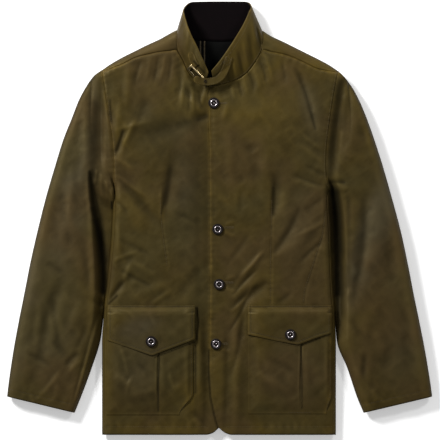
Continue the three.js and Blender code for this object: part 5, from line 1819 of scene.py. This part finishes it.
@dataclass(frozen=True)
class Buckle:
    """A rectangular brass frame in metres on the collar tab, with the strap's eyelet."""

    at: Point = (196.0, 73.4)
    hole: Point = (205.4, 82.0)
    long: float = 0.0370
    wide: float = 0.0142
    bar: float = 0.0033
    tilt: float = -45.0

    def loop(self) -> Piece:
        """Make the frame.

        Returns:
            The frame.
        """
        start_clean()
        bpy.ops.mesh.primitive_cube_add(size=1.0)
        made = bpy.context.object
        made.name = "dress_buckle"
        bpy.ops.object.mode_set(mode="EDIT")
        bpy.ops.mesh.select_all(action="SELECT")
        bpy.ops.transform.resize(value=(self.long, self.wide, self.bar))
        pick_faces(made, both=True)
        bpy.ops.mesh.inset(thickness=self.bar)
        bpy.ops.mesh.bridge_edge_loops()
        soften(made, self.bar * 0.36, 4, 30)
        return made

    def build(self, ground: Ground, strap: Ground, wear: Wardrobe) -> None:
        """Make the frame and the eyelet.

        Args:
            ground: what is under the frame.
            strap: what the eyelet sits in.
            wear: the finishes.
        """
        loop = self.loop()
        eyelet = torus("strap_eyelet", 0.0021, 0.0006, 32, 10)
        base, up = seat(ground, self.at, 1.6, 14.0)
        settle(loop, base + up * self.bar / 2, up, math.radians(self.tilt))
        enter(loop, wear.brass, Slot.BRASS, "buckle")
        settle(eyelet, *seat(strap, self.hole, 0.2, 3.0), math.radians(self.tilt))
        enter(eyelet, wear.horn, Slot.HORN)
        LOG.info("buckle: frame and eyelet")


# Sides, hem, cut corner, pleat and folds of the bags; sides, lower edge and folds of the flaps.
BAG_RIGHT = Bag(106.4, 193, 415, 13.5, 158.6, tuple(Crease(*row) for row in (
    (113, 375, 140, 397, 5, 1.7, 2), (128, 398, 156, 391, 4, 1.6, 1, 1.2), (122, 404, 150, 402, 3, -1.2),
    (140, 358, 150, 386, 5, -1.1, 2), (165, 372, 188, 352, 5, 1.1, 1), (168, 400, 182, 384, 4, 1.5, 1, 1.2),
    (174, 408, 188, 392, 3, -1), (112, 345, 128, 372, 5, -0.9, 1), (120, 346, 128, 376, 2.2, 1.5, 1),
    (133, 376, 126, 396, 2, 1.2, -1), (137, 362, 146, 372, 2.4, -1), (170, 372, 176, 392, 2.2, 1.1, -1),
    (186, 345, 187, 404, 2.4, 1.1), (163, 352, 164, 408, 2.6, 0.9), (111.5, 330, 111.5, 410, 2.4, 0.9),
)))
BAG_LEFT = Bag(248, 331.6, 414, 5.0, 301.2, tuple(Crease(*row) for row in (
    (262, 350, 275, 400, 6, 1.5, 2), (254, 372, 292, 396, 5, 1.4, 2), (252, 350, 258, 400, 3, -1, 1),
    (272, 360, 296, 374, 4, -1, 1), (310, 358, 326, 400, 5, 1.3, 1), (306, 352, 308, 408, 2.6, 0.9),
    (312, 400, 330, 380, 3, -1), (278, 404, 298, 398, 3, 1), (326.5, 338, 327, 396, 2.4, 1),
)))
FLAP_RIGHT = Flap(
    107.2, 195.4, ((107.2, 340), (152, 355.5), (195.4, 339)),
    tuple(Crease(*row) for row in (
    (112, 318, 146, 326, 5, 0.8, 1), (150, 316, 182, 334, 6, -0.7, 2), (120, 330, 150, 348, 4, -0.7),
    (166, 340, 190, 318, 5, 0.8), (124, 308, 136, 320, 2.2, 0.8, 1), (150, 310, 157, 326, 2.2, 0.7, -1),
)), lift=2.4, close=0.85)
FLAP_LEFT = Flap(
    247.6, 332, ((247.6, 334.6), (255, 335.8), (275, 340.4), (298, 344.6), (318, 337), (332, 333)),
    tuple(Crease(*row) for row in (
    (254, 330, 286, 318, 5, 0.8, 1), (290, 314, 324, 326, 6, -0.7, 1), (262, 318, 280, 334, 4, -0.6),
    (306, 336, 326, 318, 4, 0.7),
)))
POCKETS = (("right", BAG_RIGHT, FLAP_RIGHT), ("left", BAG_LEFT, FLAP_LEFT))
STRAP = Band(((229.6, 56.8), (227.6, 63.2), (225, 70.2), (221, 77), (214.4, 81.2), (206.6, 82.4),
              (200, 81.2), (194.0, 78.8)), 3.8, 46.0, round_start=0.05, round_end=0.1,
             swell=(0.97, 0.12, 4.4))
TAB = Band(((190.2, 52.6), (191.6, 57.6), (193.6, 62.6), (196.2, 67)), 3.4, 0.0, round_start=0.35)
BUTTONS = ((213.8, 103.2), (217.7, 229.2), (219.2, 284.3), (216, 343.8))
FLAP_BUTTONS = (("right", (151.2, 341.2)), ("left", (290.2, 334.3)))
HOLES = ((222.4, 103.4), (229.0, 227.4), (228.6, 282.4), (223.4, 343.6))
HOLE_HALF = 5.2
# Stitch rows of the fronts: hem, shoulder, darts and armhole.
LEFT_ROWS = (
    ((226, 426.6), (HEM_EDGE, 426.6)),
    ((263.3, 52.4), (270, 54.2), (282, 56.5), (293, 60), (305, 65.5), (318, 71.5), (328, 73.5)),
    ((271.8, 200), (271.1, 225), (270.4, 260), (270, 303)),
    ((325.6, 211), (322.2, 234.7), (313.4, 262), (304.4, 290), (303, 303)),
    tuple((x - 1.8, y) for x, y in flipped(ARM_RIGHT)))
RIGHT_ROWS = (
    ((103, 426.6), (206, 426.6)),
    ((104, 74), (110, 71.4), (123, 66.4), (136, 60), (148, 57), (160, 54.6), (170, 53.4)),
    ((160.4, 200), (161, 215), (162, 229), (164.4, 247), (167, 266)),
    tuple((x + 1.8, y) for x, y in flipped(ARM_LEFT)))
CUFF_ROWS = (("right", ((9.4, 388.8), (76.2, 405.0))), ("left", ((430.2, 388.8), (362, 405.0))))
STRAP_BOX = ((225.8, 57.6), (231.4, 60.0), (228.2, 66.2), (223.4, 63.8), (225.8, 57.6))


@dataclass
class Jacket:
    """The garment: makes its pieces in order and lays each on what is there."""

    wear: Wardrobe
    cloths: dict[str, Cloth] = field(default_factory=dict)
    band: CollarBand = field(default_factory=CollarBand)

    def add(self, node: str, surface: Surface, us: Array, vs: Array, **more: object) -> None:
        """Build a cloth piece and keep it.

        Args:
            node: what it stands for.
            surface: its outer face.
            us: its columns.
            vs: its rows.
            more: other fields of Cloth; the finish is waxed cotton unless given.
        """
        finish = more.pop("finish", self.wear.wax)
        self.cloths[node] = Cloth(node, surface, us, vs, finish, **more)
        self.cloths[node].build()

    def on(self, *nodes: str) -> Ground:
        """Ground of the named pieces."""
        return Ground([self.cloths[node] for node in nodes])

    def body(self) -> None:
        """Make the fronts and the back."""
        side_left = Side(BLOCK.arm_left, BLOCK.left, 71.6, 1)
        side_right = Side(BLOCK.arm_right, BLOCK.right, 72.6, -1)
        rows = graded((0, 0.06, 14), (0.06, 1, 206))
        under_edge = partial(np.full_like, fill_value=UNDER_EDGE)
        self.add("front_right", Front(BLOCK.top_left, BLOCK.hem_left, side_left, under_edge, UNDERLAP),
                 graded((0, 0.12, 16), (0.12, 1, 84)), rows)
        self.add("front_left", Front(BLOCK.top_right, BLOCK.hem_right, BLOCK.placket, side_right),
                 graded((0, 0.05, 10), (0.05, 0.88, 76), (0.88, 1, 16)), rows)
        back = Back()
        self.add("back", back, *back.knots(), flip=False, keep=back.keep)

    def sleeves(self) -> None:
        """Make both sleeves."""
        ring = graded((0, 0.08, 9), (0.08, 0.42, 46), (0.42, 0.58, 22), (0.58, 0.92, 26), (0.92, 1, 9))
        rows = graded((0, 0.4, 90), (0.4, 1, 110))
        for node, table, arm, first, sign in (("sleeve_right", SLEEVE_LEFT, BLOCK.arm_left, 70, 1),
                                              ("sleeve_left", SLEEVE_RIGHT, BLOCK.arm_right, 71, -1)):
            self.add(node, Sleeve(table, arm, first, sign), ring[:-1], rows, flip=sign > 0, ring=True)

    def collar(self) -> None:
        """Make the collar, its lining and the lining in the neck."""
        self.add("collar", self.band, np.linspace(0, 1, 181), np.linspace(0, 1, 21), wear=self.band.wear)
        self.add("collar_lining", self.band, np.linspace(0, 1, 161), np.linspace(0, 1, 13),
                 finish=self.wear.cord, slot=Slot.CORD, wall=LINING, inset=WALL + SEAM)
        self.add("neck_lining", neck_lining, np.linspace(0, 1, 61), np.linspace(0, 1, 41),
                 finish=self.wear.lining, slot=Slot.DARK, wall=LINING)

    def pockets(self) -> None:
        """Make each pocket bag, then its flap."""
        ground = self.on("front_right", "front_left", "back")
        bag_us = graded((0, 0.06, 8), (0.06, 0.55, 34), (0.55, 0.65, 16), (0.65, 0.94, 22), (0.94, 1, 8))
        bag_vs = graded((0, 0.92, 70), (0.92, 1, 10))
        flap_us = graded((0, 0.05, 6), (0.05, 0.95, 78), (0.95, 1, 6))
        flap_vs = graded((0, 0.9, 34), (0.9, 1, 8))
        for side, bag, flap in POCKETS:
            self.add(f"pocket_{side}", partial(bag.surface, ground), bag_us, bag_vs,
                     wear=bag.wear, thin=bag.thin)
            over = self.on(f"pocket_{side}", f"front_{side}", "back")
            self.add(f"flap_{side}", partial(flap.surface, ground, over), flap_us, flap_vs,
                     wear=flap.wear, thin=flap.thin)

    def neck_trims(self) -> None:
        """Make the throat strap, the collar tab and the buckle."""
        ground = self.on("collar", "front_left", "front_right")
        for node, band, rows in (("throat_strap", STRAP, 90), ("collar_tab", TAB, 40)):
            self.add(node, partial(band.surface, ground), np.linspace(0, 1, 21), np.linspace(0, 1, rows),
                     wear=band.wear)
        Buckle().build(ground, self.on("throat_strap"), self.wear)

    def buttons(self) -> None:
        """Make the front and flap buttons on what they are sewn to."""
        front = self.on("front_left")
        for n, at in enumerate(BUTTONS):
            Button(f"button_{n + 1}", at).build(front, self.wear)
        for side, at in FLAP_BUTTONS:
            Button(f"flap_button_{side}", at).build(self.on(f"flap_{side}"), self.wear)

    def sew_fronts(self) -> None:
        """Stitch both fronts and work the buttonholes."""
        for node, rows, holes in (("front_left", LEFT_ROWS, HOLES), ("front_right", RIGHT_ROWS, ())):
            sewing = Sewing(node, self.wear.thread, self.on(node))
            for row in rows:
                sewing.run(row)
            for gx, gy in holes:
                sewing.hole(gx, gy, HOLE_HALF)
            sewing.build()

    def sew_cuffs(self) -> None:
        """Stitch the cuffs."""
        for side, ends in CUFF_ROWS:
            sewing = Sewing(f"sleeve_{side}", self.wear.dark_thread, self.on(f"sleeve_{side}"))
            sewing.run(ends)
            sewing.build()

    def sew_pockets(self) -> None:
        """Stitch the pocket bags and the flaps."""
        for side, bag, flap in POCKETS:
            sewing = Sewing(f"pocket_{side}", self.wear.dark_thread, self.on(f"pocket_{side}"))
            low, edge = bag.y1 - 1.6, bag.x1 - 1.6
            sewing.run(((bag.x1 - bag.cut - 1, low), (edge, bag.y1 - 20), (edge, 342)))
            if side == "left":
                sewing.run(((288, low), (312, low)))
            sewing.build()
            sewing = Sewing(f"flap_{side}", self.wear.dark_thread, self.on(f"flap_{side}"))
            sewing.run(((flap.x0 + 1, flap.top + 1.3), (flap.x1 - 1, flap.top + 1.3)))
            left, right = flap.x0 + 3.2, flap.x1 - 3.2
            rim = [(float(x), float(flap.edge(x)) - 3.2) for x in np.linspace(left, right, 40)]
            sewing.run([(left, flap.top + 5), *rim, (right, flap.top + 5)])
            sewing.build()

    def sew_neck(self) -> None:
        """Stitch the collar, bare where the neck turns, then the strap and the tab."""
        sewing = Sewing("collar", self.wear.thread, self.on("collar"))
        us = np.linspace(0.02, 0.98, 220)
        for v in self.band.stitched:
            at = self.band(us, np.full_like(us, v))
            points = [tuple(float(k) for k in on_grid(p[0], p[1])) for p in at]
            sewing.run(points[:90])
            sewing.run(points[130:])
        sewing.build()
        sewing = Sewing("throat_strap", self.wear.thread, self.on("throat_strap", "collar_tab"))
        for shape in (STRAP, TAB):
            cx, cy = shape.centre(np.linspace(0.12, len(shape.line) - 1.12, 40))
            line = [(float(a), float(b)) for a, b in zip(cx, cy)]
            for sign in (1, -1):
                sewing.run(line, shift=sign * shape.half * 0.72)
        sewing.run(STRAP_BOX)
        for first in (0, 1):
            sewing.run((STRAP_BOX[first], STRAP_BOX[first + 2]))
        sewing.build()

    def declare(self) -> None:
        """Takes no step: no sheet's flat cut is stated."""


@dataclass(frozen=True)
class Cut:
    """A sheet's flat cut in metres, what it lies on, and whether thread is sewn to it."""

    node: str
    wide: float
    tall: float
    area: float
    on: str
    sewn: bool = True


@dataclass(frozen=True)
class Lamp:
    """A square soft light that looks at the middle, in metres and watts."""

    name: str
    place: tuple[float, float, float]
    power: float
    size: float

    def build(self) -> None:
        """Make the light."""
        light = bpy.data.lights.new(self.name, "AREA")
        light.energy, light.size = self.power, self.size
        lamp = new_object(self.name, light)
        lamp.location = self.place
        lamp.rotation_euler = (-Vector(self.place)).to_track_quat("-Z", "Y").to_euler()


@dataclass(frozen=True)
class Studio:
    """Camera straight above, pale floor and soft lights, in metres."""

    sensor: float = 36.0
    high: float = 8.0
    sharp_at: float = 0.015
    middle: float = VIEW / 2
    half_floor: float = 6.0
    floor_z: float = -0.0005
    sky: float = 0.27
    lamps: tuple[Lamp, ...] = (Lamp("key", (-2.4, 2.2, 2.3), 205.0, 0.9),
                               Lamp("side", (2.0, 2.0, 2.6), 34.0, 0.5))

    def camera(self) -> None:
        """Make the camera that sees the pattern grid as it is."""
        lens = bpy.data.cameras.new("camera")
        camera = new_object("camera", lens)
        bpy.context.scene.camera = camera
        lens.dof.use_dof = False
        lens.sensor_width = self.sensor
        lens.lens = self.sensor * (self.high - self.sharp_at) / (VIEW * GRID * MM)
        lens.clip_end = 50.0
        camera.location = (across(self.middle) * MM, along(self.middle) * MM, self.high)

    def floor(self) -> None:
        """Make the pale floor."""
        mesh = bpy.data.meshes.new("floor")
        corners = [(a * self.half_floor, b * self.half_floor, self.floor_z)
                   for a, b in ((-1, -1), (1, -1), (1, 1), (-1, 1))]
        mesh.from_pydata(corners, [], [(0, 1, 2, 3)])
        floor = new_object("floor", mesh)
        paper = bpy.data.materials.new("paper")
        paper.use_nodes = True
        shader = paper.node_tree.nodes["Principled BSDF"]
        for key, value in (("Base Color", (0.93, 0.93, 0.93, 1)), ("Roughness", 0.9),
                           ("Specular IOR Level", 0.1), ("Emission Color", (1, 1, 1, 1)),
                           ("Emission Strength", 0.35)):
            shader.inputs[key].default_value = value
        mesh.materials.append(paper)

    def build(self) -> None:
        """Make camera, floor, sky and lamps."""
        scene = bpy.context.scene
        self.camera()
        self.floor()
        world = bpy.data.worlds.new("studio") if scene.world is None else scene.world
        scene.world = world
        world.use_nodes = True
        sky = world.node_tree.nodes["Background"]
        sky.inputs[0].default_value = (1, 1, 1, 1)
        sky.inputs[1].default_value = self.sky
        for lamp in self.lamps:
            lamp.build()
        scene.view_settings.view_transform = "Standard"


def main() -> None:
    """Build the studio and the jacket, piece by piece."""
    logging.basicConfig(level=logging.INFO, format="%(name)s: %(message)s")
    Studio().build()
    jacket = Jacket(Wardrobe())
    for step in (jacket.body, jacket.sleeves, jacket.collar, jacket.pockets, jacket.neck_trims,
                 jacket.buttons, jacket.sew_fronts, jacket.sew_cuffs, jacket.sew_pockets,
                 jacket.sew_neck, jacket.declare):
        step()


if __name__ == "__main__":
    main()
